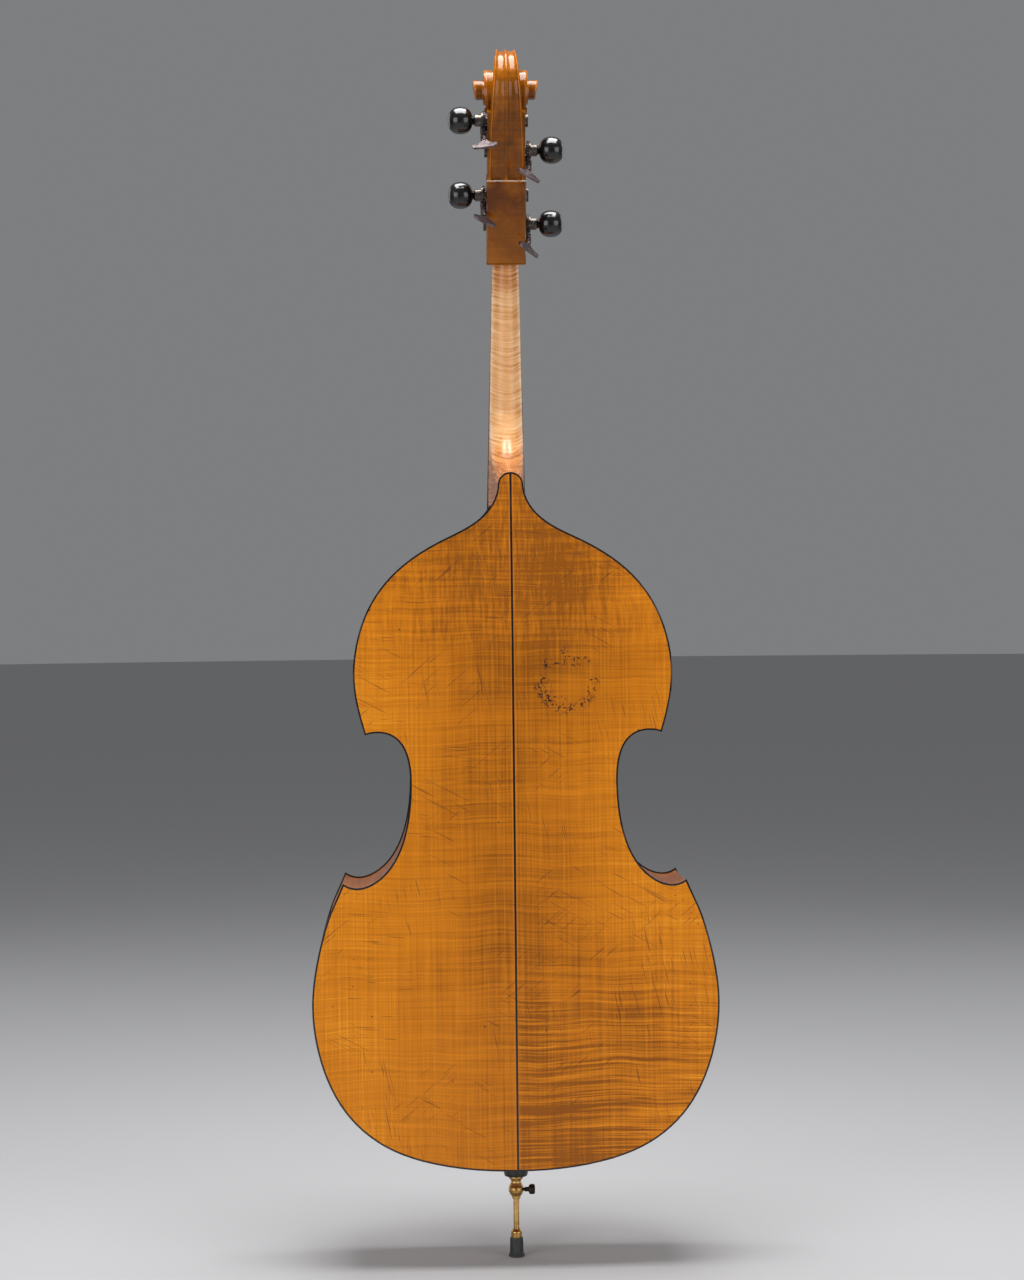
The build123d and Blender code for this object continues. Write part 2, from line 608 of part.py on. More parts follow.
FERRULE_TOP = 47.0
FERRULE_BOTTOM = 33.0
ROD_TOP = 470.0
ROD_BOTTOM = FERRULE_BOTTOM - 8
parts["endpin_rod"] = lathe([(0, ROD_BOTTOM), (ROD_R, ROD_BOTTOM), (ROD_R, ROD_TOP - 1.5),
                             (ROD_R - 1.5, ROD_TOP), (0, ROD_TOP)], Plane.XY)
parts["endpin_ferrule"] = lathe([(ROD_R, FERRULE_TOP), (6.2, FERRULE_TOP), (9.2, 43), (9.4, 42),
                                 (9.4, FERRULE_BOTTOM), (ROD_R, FERRULE_BOTTOM)], Plane.XY)
parts["endpin_foot"] = lathe([(0, 0), (12.0, 0), (13.6, 1.6), (13.6, 4.0), (11.6, 6.4), (11.2, 30),
                              (10.2, FERRULE_BOTTOM), (ROD_R, FERRULE_BOTTOM), (ROD_R, ROD_BOTTOM),
                              (0, ROD_BOTTOM)], Plane.XY)

# ---------------------------------------------------------------- head
def head_prism(face, half):
    """Extrude a face drawn as (v backwards, u upwards) to both sides of the centre plane."""
    side = Plane(HEAD.from_local_coords(Vector(0, 0, -half)), x_dir=HEAD.x_dir, z_dir=HEAD.z_dir)
    return extrude(side * face, amount=2 * half)


pegbox_side = make_face(
    Spline((-27, 0), (-31, 60), (-28, 140), (-25, 190), (-30, 226))
    + Polyline((-30, 226), (-44, 300), (24, 300))
    + Spline((24, 300), (29.5, 262), (31, 200), (31.5, LEDGE_U))
    + Polyline((31.5, LEDGE_U), (BLOCK_BACK, LEDGE_U - 3), (35, 60), (31, 3), (27, 0), (-27, 0)))
head = head_prism(pegbox_side, HEAD_W / 2)
block_side = make_face(Polyline(
    (-10, 0), (27, 0), (31, 3), (35, 60), (BLOCK_BACK, LEDGE_U - 3), (31.5, LEDGE_U), (-10, LEDGE_U),
    close=True))
head += head_prism(block_side, BLOCK_W / 2)

first_turn = make_face(
    Spline((26, 264), (28, 295), (14, 330), (-15, 352), (-44, 357), (-78, 346), (-102, 317),
           (-107, 285), (-97, 255), (-76, 238), (-48, 231), (-30, 226))
    + Line((-30, 226), (26, 264)))
crest = head_prism(first_turn, HEAD_W / 2)
crest_view = Polygon((-32, 200), (32, 200), (31, 262), (24, 322), (16.5, 358), (-16.5, 358), (-24, 322),
                     (-31, 262), align=None)
crest_cut = extrude(Plane(HEAD.from_local_coords(Vector(-200, 0, 0)), x_dir=(1, 0, 0), z_dir=HEAD.x_dir)
                    * mirror(crest_view, Plane.XZ), amount=400)
head += crest & crest_cut
for r, half, du, dv in ((41, 37, 0, 1), (28, 47, 1, -1), (16.5, 56, 0, 0)):
    eye_disc = head_prism(Pos(SCROLL_V + dv, SCROLL_U + du) * Circle(r), half)
    head += eye_disc

cavity_side = make_face(Polyline(
    (-60, -5), (-60, 200), (-24, 208), (-12, 232), (-8, 256), (14, 262), (19, 256), (19, 9), (-14, 9),
    (-19, -5), close=True))
head -= head_prism(cavity_side, CAVITY_W / 2)


# ---------------------------------------------------------------- tuning machines
def machine_frame(u, side):
    """Frame at a gear's centre: z along +X, x along the key (back and down), y away from the worm."""
    centre = HEAD.from_local_coords(Vector(MACHINE_V, u, 0))
    return Plane(origin=(side * GEAR_X, centre.Y, centre.Z),
                 x_dir=(0, math.cos(KEY_TILT), -math.sin(KEY_TILT)), z_dir=(1, 0, 0))


def worm_frame(u, side):
    """Frame at a worm's centre: z along the key, x towards the gear."""
    gear = machine_frame(u, side)
    centre = gear.from_local_coords(Vector(0, -AXIS_GAP, 0))
    return Plane(origin=centre, x_dir=gear.y_dir, z_dir=gear.x_dir)


def gear_wheel():
    """Toothed wheel about local z, with a tooth gap facing local -y."""
    add = GEAR_MODULE * 0.6
    ded = GEAR_MODULE * 0.9
    flank = math.tan(math.radians(20))
    half_pitch = TOOTH_SHARE * PITCH / 2
    half_root = half_pitch + ded * flank
    half_tip = half_pitch - add * flank
    wheel = Cylinder(GEAR_R - ded, GEAR_T)
    buried = GEAR_R - ded - 1
    tip = GEAR_R + add
    root_half = half_root + 0.3
    tooth_face = Polygon((buried, -root_half), (tip, -half_tip), (tip, half_tip), (buried, root_half),
                         align=None)
    tooth = extrude(tooth_face, amount=GEAR_T / 2, both=True)
    for i in range(GEAR_TEETH):
        wheel += Rot(0, 0, -90 + 360 / GEAR_TEETH * (i + 0.5)) * tooth
    return wheel


def gear_part(side):
    """Gear, its flange and the collar with a grub-screw hole, about local z towards +X."""
    flange = Pos(0, 0, side * (GEAR_T + FLANGE_T) / 2) * Cylinder(FLANGE_R, FLANGE_T)
    hub_len = HUB_END - GEAR_X - GEAR_T / 2 - FLANGE_T
    hub_z = side * (GEAR_T / 2 + FLANGE_T + hub_len / 2)
    hub = Pos(0, 0, hub_z) * Cylinder(HUB_R, hub_len)
    grub_hole = Pos(0, -10, hub_z) * Rot(90, 0, 0) * Cylinder(1.7, 20)
    return gear_wheel() + flange + hub - Cylinder(SHANK_R, 80) - grub_hole


worm_helix_len = 4.6 * PITCH
trap_flank = math.tan(math.radians(20))


def worm_thread():
    """Right-hand thread about local z; its crest lies on local +x at the middle."""
    half = TOOTH_SHARE * PITCH / 2
    top = half - WORM_ADD * trap_flank
    low = half + (WORM_DED + 0.2) * trap_flank
    half_turns = worm_helix_len / PITCH / 2
    path = Helix(pitch=PITCH, height=worm_helix_len, radius=WORM_PITCH_R, center=(0, 0, -worm_helix_len / 2))
    start = Plane(origin=path @ 0, x_dir=(1, 0, 0), z_dir=path % 0)
    root = -WORM_DED - 0.2
    section = start * Polygon((root, -low), (WORM_ADD, -top), (WORM_ADD, top), (root, low), align=None)
    return Rot(0, 0, -360 * half_turns) * sweep(section, path=path, is_frenet=True)


thread = worm_thread()


def worm_key(angle):
    """Worm with its stem and the flat T-shaped paddle, along local z."""
    core = Cylinder(WORM_PITCH_R - WORM_DED, 2 * (LUG_IN - 0.3))
    front_pin = Pos(0, 0, -LUG_IN - 1.7) * Cylinder(STEM_R, 5.0)
    stem = Pos(0, 0, LUG_IN + 15) * Cylinder(STEM_R, 31.0)
    paddle_half = make_face(Polyline(
        (0, 38), (3.4, 40), (6, 49), (12, 55), (19.5, 58.5), (21.2, 62), (19.5, 69.5), (14, 72),
        (0, KEY_END), close=True))
    outline_face = paddle_half + mirror(paddle_half, Plane.YZ)
    paddle = extrude(Plane.XZ * outline_face, amount=1.7, both=True)
    return core + thread + front_pin + stem + Rot(0, 0, angle) * paddle


def machine_plate(side, cheek):
    """Iron bracket in the worm's frame: z along the key, x towards the gear, y along +X."""
    seat = cheek - GEAR_X
    bore = Cylinder(STEM_R + RUN_CLEAR, 60)
    pieces = []
    for z0, z1 in ((LUG_IN, LUG_OUT), (-LUG_OUT, -LUG_IN)):
        pieces.append(box(-11, 6, seat, LUG_SIDE, z0, z1) - bore)
    pieces.append(box(-11, -8, seat, LUG_SIDE, -LUG_OUT, LUG_OUT))
    pieces.append(box(-EAR_END, -8, seat, seat + EAR_T, -9, 9))
    bracket = joined(pieces)
    return bracket if side > 0 else mirror(bracket, Plane.XZ)


def machine_screw(side, cheek, z):
    """Round-headed wood screw through the bracket's ear into the cheek."""
    seat = cheek - GEAR_X + EAR_T
    body = lathe([(0, -9), (1.3, -7), (1.3, 0), (2.7, 0), (2.4, 0.8), (1.4, 1.4), (0, 1.6)],
                 Plane(origin=(-14.0, side * seat, z), z_dir=(0, side, 0)))
    return body - Pos(-14.0, side * (seat + 1.5), z) * Box(6, 1.4, 0.6)


def knob_ball():
    """Rounded knob with a waisted neck, bored for the shank, about local z."""
    seat = HUB_END + 0.01
    shank_end = HUB_END + 4.01
    neck_line = [(0, shank_end), (SHANK_R, shank_end), (SHANK_R, seat), (8.6, seat), (8.8, HUB_END + 1.2),
                 (6.6, HUB_END + 3.4), (7.6, HUB_END + 4.6)]
    ball_line = []
    for i in range(1, 12):
        a = math.pi * i / 12
        bulge = 1 + 0.05 * math.sin(2 * a) ** 2
        ball_line.append((KNOB_R * math.sin(a) * bulge, KNOB_X - KNOB_HALF * math.cos(a) * bulge))
    ball_line.append((0, KNOB_X + KNOB_HALF))
    axis_edge = Line(ball_line[-1], neck_line[0])
    outline_edges = Polyline(*neck_line, ball_line[0]) + Spline(*ball_line) + axis_edge
    return revolve(Plane.XZ * make_face(outline_edges), axis=Axis.Z)


knob = knob_ball()
screws = []
plates = []
for name, side, u, paddle_angle, radius, column in MACHINES:
    frame = machine_frame(u, side)
    wframe = worm_frame(u, side)
    axis = Plane(origin=(0, frame.origin.Y, frame.origin.Z), x_dir=frame.x_dir, z_dir=(side, 0, 0))

    cheek = (BLOCK_W if u < LEDGE_U else HEAD_W) / 2

    # Roller holes and the shallow recess under the worm.
    head -= axis * Cylinder(ROLLER_R + RUN_CLEAR, 2 * cheek + 20)
    head -= wframe * Pos(0, side * 1.8, 0) * Box(14.4, 16.4, 2 * LUG_IN)

    parts[f"gear_{name}"] = frame * gear_part(side)

    roller_in = -(cheek + 0.4)
    gear_face = GEAR_X - GEAR_T / 2
    roller = axis * Pos(0, 0, (roller_in + gear_face) / 2) * Cylinder(ROLLER_R, gear_face - roller_in)
    shank = axis * Pos(0, 0, (gear_face + HUB_END) / 2 + 2) * Cylinder(SHANK_R, HUB_END - gear_face + 4)
    cap = axis * Pos(0, 0, roller_in - CAP_T / 2) * Cylinder(CAP_R, CAP_T)
    parts[f"roller_{name}"] = roller + shank + cap
    winding = Cylinder(WIND_R, WIND_W) - Cylinder(ROLLER_R, 2 * WIND_W)
    parts[f"winding_{name}"] = axis * Pos(0, 0, side * WIND_X[name]) * winding

    parts[f"knob_{name}"] = axis * knob

    parts[f"key_{name}"] = wframe * worm_key(paddle_angle)
    fixings = [wframe * machine_screw(side, cheek, z) for z in (-5.5, 5.5)]
    bracket = wframe * machine_plate(side, cheek)
    for fixing in fixings:
        bracket = bracket - fixing
        head = head - fixing
    plates.append(bracket)
    screws.extend(fixings)
parts["head"] = head
parts["machine_plates"] = group(plates)
parts["machine_screws"] = group(screws)

# ---------------------------------------------------------------- files
for name, shape in parts.items():
    export_step(shape, f"parts/{name}.step")
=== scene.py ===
import json
import math

import bmesh
import bpy
from mathutils import Matrix, Vector


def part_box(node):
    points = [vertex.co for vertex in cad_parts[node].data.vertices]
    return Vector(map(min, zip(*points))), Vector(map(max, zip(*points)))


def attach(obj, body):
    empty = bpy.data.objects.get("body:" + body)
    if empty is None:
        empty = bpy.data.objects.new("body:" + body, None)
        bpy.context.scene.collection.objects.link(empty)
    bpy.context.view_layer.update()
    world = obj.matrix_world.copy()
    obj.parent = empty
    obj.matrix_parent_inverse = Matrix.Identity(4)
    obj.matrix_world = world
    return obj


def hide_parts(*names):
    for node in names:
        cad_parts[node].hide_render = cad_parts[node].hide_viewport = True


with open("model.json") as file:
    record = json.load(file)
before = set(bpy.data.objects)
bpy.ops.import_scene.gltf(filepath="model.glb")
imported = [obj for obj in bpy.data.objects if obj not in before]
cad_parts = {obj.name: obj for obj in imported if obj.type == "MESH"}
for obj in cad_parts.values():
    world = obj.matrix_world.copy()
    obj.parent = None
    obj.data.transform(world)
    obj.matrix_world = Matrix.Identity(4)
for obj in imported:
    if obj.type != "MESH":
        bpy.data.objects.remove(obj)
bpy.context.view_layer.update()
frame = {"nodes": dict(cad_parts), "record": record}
MACHINES = "dage"
MM = 0.001

# ---------------------------------------------------------------- camera, light and floor
BACK_SURFACE_Y = 0.104
CAMERA_LENS = 83.0
CAMERA_DISTANCE = 4.93
CAMERA_X = 0.18
CAMERA_Z = 1.15
CAMERA_SHIFT = -0.045
ROLL = math.radians(-0.6)
FLOOR_R = 40.0
FLOOR_SIDES = 64


def aim(obj, target, roll=0.0):
    """Point an object's -Z at a place, with +Z of the world upwards."""
    turn = (Vector(target) - obj.location).to_track_quat("-Z", "Y")
    obj.rotation_euler = (turn.to_matrix() @ Matrix.Rotation(roll, 3, "Z")).to_euler()


def make_camera():
    data = bpy.data.cameras.new("camera")
    data.lens = CAMERA_LENS
    data.sensor_width = 36.0
    data.shift_y = CAMERA_SHIFT
    camera = bpy.data.objects.new("camera", data)
    bpy.context.collection.objects.link(camera)
    camera.location = (CAMERA_X, BACK_SURFACE_Y + CAMERA_DISTANCE, CAMERA_Z)
    aim(camera, (0, BACK_SURFACE_Y, CAMERA_Z), ROLL)
    bpy.context.scene.camera = camera


def area_light(name, place, target, size, power):
    data = bpy.data.lights.new(name, "AREA")
    data.shape = "RECTANGLE"
    data.size, data.size_y = size
    data.energy = power
    light = bpy.data.objects.new(name, data)
    bpy.context.collection.objects.link(light)
    light.location = place
    aim(light, target)


def make_world():
    world = bpy.data.worlds.new("studio")
    bpy.context.scene.world = world
    world.use_nodes = True
    back = world.node_tree.nodes["Background"]
    back.inputs["Color"].default_value = (0.80, 0.81, 0.83, 1)
    back.inputs["Strength"].default_value = 0.26


def make_floor():
    mesh = bpy.data.meshes.new("floor")
    ring = []
    for i in range(FLOOR_SIDES):
        a = 2 * math.pi * i / FLOOR_SIDES
        ring.append((FLOOR_R * math.cos(a), FLOOR_R * math.sin(a), 0))
    mesh.from_pydata(ring, [], [list(range(FLOOR_SIDES))])
    floor = bpy.data.objects.new("floor", mesh)
    bpy.context.collection.objects.link(floor)
    mat = bpy.data.materials.new("floor")
    mat.use_nodes = True
    shader = mat.node_tree.nodes["Principled BSDF"]
    shader.inputs["Base Color"].default_value = (0.5, 0.5, 0.51, 1)
    shader.inputs["Roughness"].default_value = 0.6
    mesh.materials.append(mat)


make_camera()
make_world()
make_floor()
# Two broad soft boxes either side of the camera, one overhead and a weak pair on the strings' side.
area_light("key_left", (3.4, 4.0, 1.8), (0, 0, 1.0), (3.6, 3.2), 112)
area_light("key_right", (-3.4, 3.8, 1.8), (0, 0, 1.0), (3.6, 3.2), 90)
area_light("overhead", (0.0, 0.15, 3.6), (0, 0.15, 1.8), (1.9, 1.7), 140)
area_light("front_left", (3.2, -3.0, 2.4), (0, 0, 1.1), (2.4, 2.8), 20)
area_light("front_right", (-3.2, -3.0, 2.4), (0, 0, 1.1), (2.4, 2.8), 20)
bpy.context.scene.view_settings.view_transform = "Standard"


# ---------------------------------------------------------------- material helpers
class Shade:
    """A node material, built by small calls that each add one node."""

    def __init__(self, name, **inputs):
        self.mat = bpy.data.materials.new(name)
        self.mat.use_nodes = True
        self.tree = self.mat.node_tree
        self.shader = self.tree.nodes["Principled BSDF"]
        for key, value in inputs.items():
            self.shader.inputs[key.replace("_", " ")].default_value = value
        self.place = self.new("ShaderNodeTexCoord").outputs["Object"]

    def new(self, kind, **settings):
        node = self.tree.nodes.new(kind)
        for key, value in settings.items():
            setattr(node, key, value)
        return node

    def put(self, socket, value):
        if isinstance(value, bpy.types.NodeSocket):
            self.tree.links.new(value, socket)
        else:
            socket.default_value = value

    def scaled(self, sx, sy, sz, move=(0, 0, 0), turn=(0, 0, 0), source=None):
        """Object coordinates stretched, moved and turned."""
        node = self.new("ShaderNodeMapping")
        self.put(node.inputs["Vector"], source or self.place)
        node.inputs["Location"].default_value = move
        node.inputs["Rotation"].default_value = turn
        node.inputs["Scale"].default_value = (sx, sy, sz)
        return node.outputs["Vector"]

    def noise(self, vector, detail, rough=0.5, warp=0.0):
        """Noise over coordinates that are already scaled."""
        node = self.new("ShaderNodeTexNoise")
        self.put(node.inputs["Vector"], vector)
        node.inputs["Scale"].default_value = 1.0
        node.inputs["Detail"].default_value = detail
        node.inputs["Roughness"].default_value = rough
        node.inputs["Distortion"].default_value = warp
        return node.outputs["Fac"]

    def cells(self, vector, scale, output="Distance"):
        node = self.new("ShaderNodeTexVoronoi")
        self.put(node.inputs["Vector"], vector)
        node.inputs["Scale"].default_value = scale
        return node.outputs[output]

    def sums(self, operation, a, b=0.0, c=0.0):
        node = self.new("ShaderNodeMath", operation=operation)
        for socket, value in zip(node.inputs, (a, b, c)):
            self.put(socket, value)
        return node.outputs[0]

    def swing(self, value, amount):
        """A 0-1 value made to swing about zero, times an amount."""
        return self.sums("MULTIPLY", self.sums("SUBTRACT", value, 0.5), amount)

    def fit(self, value, low, high, out_low=0.0, out_high=1.0):
        node = self.new("ShaderNodeMapRange", interpolation_type="SMOOTHSTEP")
        self.put(node.inputs["Value"], value)
        node.inputs["From Min"].default_value = low
        node.inputs["From Max"].default_value = high
        node.inputs["To Min"].default_value = out_low
        node.inputs["To Max"].default_value = out_high
        return node.outputs["Result"]

    def mix(self, amount, a, b):
        node = self.new("ShaderNodeMix", data_type="RGBA")
        self.put(node.inputs["Factor"], amount)
        self.put(node.inputs[6], a)
        self.put(node.inputs[7], b)
        return node.outputs[2]

    def ramp(self, value, stops):
        node = self.new("ShaderNodeValToRGB")
        self.put(node.inputs["Fac"], value)
        ramp = node.color_ramp
        while len(ramp.elements) < len(stops):
            ramp.elements.new(0.5)
        for element, (at, colour) in zip(ramp.elements, stops):
            element.position = at
            element.color = colour
        return node.outputs["Color"]

    def axis(self, name):
        node = self.new("ShaderNodeSeparateXYZ")
        self.put(node.inputs[0], self.place)
        return node.outputs[name]

    def colour(self, value):
        self.put(self.shader.inputs["Base Color"], value)

    def rough(self, value):
        self.put(self.shader.inputs["Roughness"], value)

    def bump(self, height, strength, depth):
        node = self.new("ShaderNodeBump")
        node.inputs["Strength"].default_value = strength
        node.inputs["Distance"].default_value = depth
        self.put(node.inputs["Height"], height)
        self.put(self.shader.inputs["Normal"], node.outputs["Normal"])


def rgb(r, g, b):
    """Linear colour from 0-255 display values."""
    out = []
    for v in (r, g, b):
        v /= 255
        out.append(v / 12.92 if v <= 0.04045 else ((v + 0.055) / 1.055) ** 2.4)
    return (*out, 1.0)


# ---------------------------------------------------------------- woods
PIT_SPREAD = 0.4
PIT_SOFT = 0.4


def dark_dots(s, scale, radius, share):
    """Small round pits: 1 inside a pit, 0 elsewhere."""
    dist = s.cells(s.place, scale)
    keep = s.new("ShaderNodeSeparateColor")
    s.put(keep.inputs[0], s.cells(s.place, scale, output="Color"))
    chosen = s.sums("LESS_THAN", keep.outputs[0], share)
    size = s.sums("MULTIPLY_ADD", keep.outputs[1], radius * scale, radius * scale * PIT_SPREAD)
    inside = s.sums("SUBTRACT", size, dist)
    return s.sums("MULTIPLY", chosen, s.fit(inside, 0.0, radius * scale * PIT_SOFT))


def scratches(s, turn, cut, move):
    """Thin dark strokes that run one way."""
    turned = s.scaled(1, 1, 1, turn=turn)
    line = s.noise(s.scaled(14, 14, 420, move=move, source=turned), 1.0)
    patch = s.noise(s.scaled(7, 7, 7, move=move), 1.0)
    return s.sums("MULTIPLY", s.fit(line, cut, cut + 0.03), s.fit(patch, 0.52, 0.60))


def varnished_back():
    """Old amber varnish over finely flamed maple, with nicks, scratches and worm marks."""
    s = Shade("back_maple", Roughness=0.36, Coat_Weight=0.1, Coat_Roughness=0.2, Specular_IOR_Level=0.22)
    x, z = s.axis("X"), s.axis("Z")
    wander = s.noise(s.scaled(5, 5, 3), 2.0)
    flame_place = s.new("ShaderNodeVectorMath", operation="ADD")
    push = s.new("ShaderNodeCombineXYZ")
    s.put(push.inputs["Z"], s.swing(wander, 0.03))
    s.put(flame_place.inputs[0], s.place)
    s.put(flame_place.inputs[1], push.outputs[0])
    flame = s.noise(s.scaled(6, 6, 330, source=flame_place.outputs[0]), 2.0, 0.55)
    bands = s.noise(s.scaled(2.2, 2.2, 46, source=flame_place.outputs[0]), 1.0)
    grain = s.noise(s.scaled(250, 250, 3.2), 2.0, 0.6)
    fibre = s.noise(s.scaled(900, 900, 22), 1.0)
    cloud = s.noise(s.scaled(3.6, 3.6, 2.6), 4.0, 0.62)

    # The flame is boldest low on the bass half, and faint elsewhere.
    low = s.fit(z, 0.62, 0.30)
    bass = s.fit(x, 0.004, -0.004)
    bold = s.sums("MULTIPLY_ADD", s.sums("MULTIPLY", low, bass), 0.72, 0.40)
    lines = s.sums("ADD", s.sums("SUBTRACT", flame, 0.5), s.swing(bands, 0.12))
    weave = s.sums("ADD", s.sums("MULTIPLY", lines, bold), s.swing(grain, 0.42))
    weave = s.sums("ADD", weave, s.swing(fibre, 0.12))

    # Painted light: lighter towards the sides and darker towards the top, as the light falls across the back,
    # laid over the wood's own cloudy tone.
    side = s.fit(s.sums("ABSOLUTE", x), 0.03, 0.30)
    tone = s.sums("MULTIPLY_ADD", side, 0.30, s.sums("MULTIPLY", cloud, 0.75))
    tone = s.sums("SUBTRACT", tone, s.sums("MULTIPLY", s.fit(z, 0.85, 1.20), 0.22))
    tone = s.sums("SUBTRACT", tone, s.sums("MULTIPLY", s.sums("MULTIPLY", low, bass), 0.15))
    tone = s.sums("MULTIPLY_ADD", weave, 1.5, tone)
    amber = s.ramp(tone, [(0.12, rgb(138, 76, 4)), (0.38, rgb(184, 106, 6)), (0.62, rgb(206, 122, 12)),
                          (0.9, rgb(230, 150, 34))])

    pits = dark_dots(s, 38, 0.0012, 0.20)
    edge_pits = s.sums("MULTIPLY", dark_dots(s, 85, 0.0010, 0.28), s.fit(s.sums("ABSOLUTE", x), 0.20, 0.29))
    marks = s.sums("MAXIMUM", s.sums("MAXIMUM", pits, edge_pits), dark_dots(s, 17, 0.0022, 0.16))
    for turn, cut, move in (((0, 0.5, 0), 0.69, (3, 1, 2)), ((0, -0.7, 0), 0.69, (9, 4, 7)),
                            ((0, 0.06, 0), 0.70, (5, 8, 1)), ((0, 1.35, 0), 0.69, (2, 6, 4))):
        marks = s.sums("MAXIMUM", marks, s.sums("MULTIPLY", scratches(s, turn, cut, move), 0.5))

    # Worm tracks in a ragged ring on the bass side of the upper bout.
    spot = s.new("ShaderNodeVectorMath", operation="DISTANCE")
    s.put(spot.inputs[0], s.scaled(1, 0, 1))
    spot.inputs[1].default_value = (-0.088, 0, 0.985)
    reach = spot.outputs["Value"]
    ring = s.sums("MULTIPLY", s.fit(reach, 0.022, 0.034), s.fit(reach, 0.062, 0.046))
    tracks = s.fit(s.noise(s.scaled(120, 120, 120), 2.0, 0.5, 1.6), 0.55, 0.59)
    broken = s.noise(s.scaled(26, 26, 26, move=(3, 0, 1)), 1.0)
    tracks = s.sums("MULTIPLY", tracks, s.fit(broken, 0.42, 0.50))
    marks = s.sums("MAXIMUM", marks, s.sums("MULTIPLY", ring, tracks))

    # A pale line where the black strip is let in.
    joint = s.sums("MULTIPLY", s.fit(s.sums("ABSOLUTE", x), 0.0062, 0.0022), 0.25)
    amber = s.mix(joint, amber, rgb(226, 140, 48))
    s.colour(s.mix(marks, amber, rgb(52, 20, 4)))
    s.rough(s.sums("MULTIPLY_ADD", cloud, 0.16, s.sums("MULTIPLY_ADD", marks, 0.3, 0.27)))
    relief = s.sums("SUBTRACT", s.sums("MULTIPLY", weave, 0.25), s.sums("MULTIPLY", marks, 1.2))
    s.bump(relief, 0.35, 0.0004)
    return s.mat


def varnished_ribs():
    """The same varnish on the bent ribs: the flame runs across them, from front to back."""
    s = Shade("rib_maple", Roughness=0.38, Coat_Weight=0.12, Coat_Roughness=0.25, Specular_IOR_Level=0.35)
    flame = s.noise(s.scaled(120, 6, 120), 2.0, 0.5)
    grain = s.noise(s.scaled(8, 300, 8), 2.0, 0.6)
    cloud = s.noise(s.scaled(4, 6, 4), 3.0)
    tone = s.sums("MULTIPLY_ADD", cloud, 0.45, s.sums("MULTIPLY", grain, 0.16))
    tone = s.sums("ADD", s.sums("MULTIPLY", flame, 0.45), tone)
    amber = s.ramp(tone, [(0.25, rgb(118, 60, 14)), (0.5, rgb(158, 86, 24)), (0.75, rgb(188, 112, 42))])
    marks = dark_dots(s, 45, 0.0011, 0.22)
    s.colour(s.mix(marks, amber, rgb(66, 28, 8)))
    s.rough(s.sums("MULTIPLY_ADD", cloud, 0.16, 0.26))
    s.bump(s.sums("SUBTRACT", s.sums("MULTIPLY", grain, 0.3), marks), 0.3, 0.0004)
    return s.mat


def varnished_spruce():
    """Front plate: close straight growth lines that run up the instrument."""
    s = Shade("top_spruce", Roughness=0.34, Coat_Weight=0.4, Coat_Roughness=0.18)
    x = s.axis("X")
    lines = s.noise(s.scaled(420, 0, 1.6), 2.0, 0.5)
    silk = s.noise(s.scaled(14, 14, 160), 1.0)
    cloud = s.noise(s.scaled(4, 4, 3), 4.0, 0.6)
    side = s.fit(s.sums("ABSOLUTE", x), 0.02, 0.28)
    tone = s.sums("MULTIPLY_ADD", lines, 0.55, s.sums("MULTIPLY", cloud, 0.35))
    tone = s.sums("MULTIPLY_ADD", side, 0.14, tone)
    tone = s.sums("MULTIPLY_ADD", silk, 0.08, tone)
    amber = s.ramp(tone, [(0.25, rgb(120, 58, 14)), (0.5, rgb(184, 104, 30)), (0.8, rgb(214, 142, 56))])
    marks = s.sums("MAXIMUM", dark_dots(s, 42, 0.0011, 0.2),
                   s.sums("MULTIPLY", scratches(s, (0, 0.6, 0), 0.70, (4, 2, 6)), 0.5))
    s.colour(s.mix(marks, amber, rgb(64, 27, 8)))
    s.rough(s.sums("MULTIPLY_ADD", cloud, 0.16, 0.25))
    s.bump(s.sums("SUBTRACT", s.sums("MULTIPLY", lines, 0.5), marks), 0.3, 0.0003)
    return s.mat


def bare_spruce():
    s = Shade("inner_spruce", Roughness=0.75)
    lines = s.noise(s.scaled(300, 300, 3), 2.0, 0.55)
    dust = s.noise(s.scaled(30, 30, 30), 3.0)
    tone = s.sums("MULTIPLY_ADD", lines, 0.6, s.sums("MULTIPLY", dust, 0.4))
    s.colour(s.ramp(tone, [(0.3, rgb(176, 134, 84)), (0.7, rgb(214, 178, 124))]))
    s.bump(lines, 0.3, 0.0003)
    return s.mat


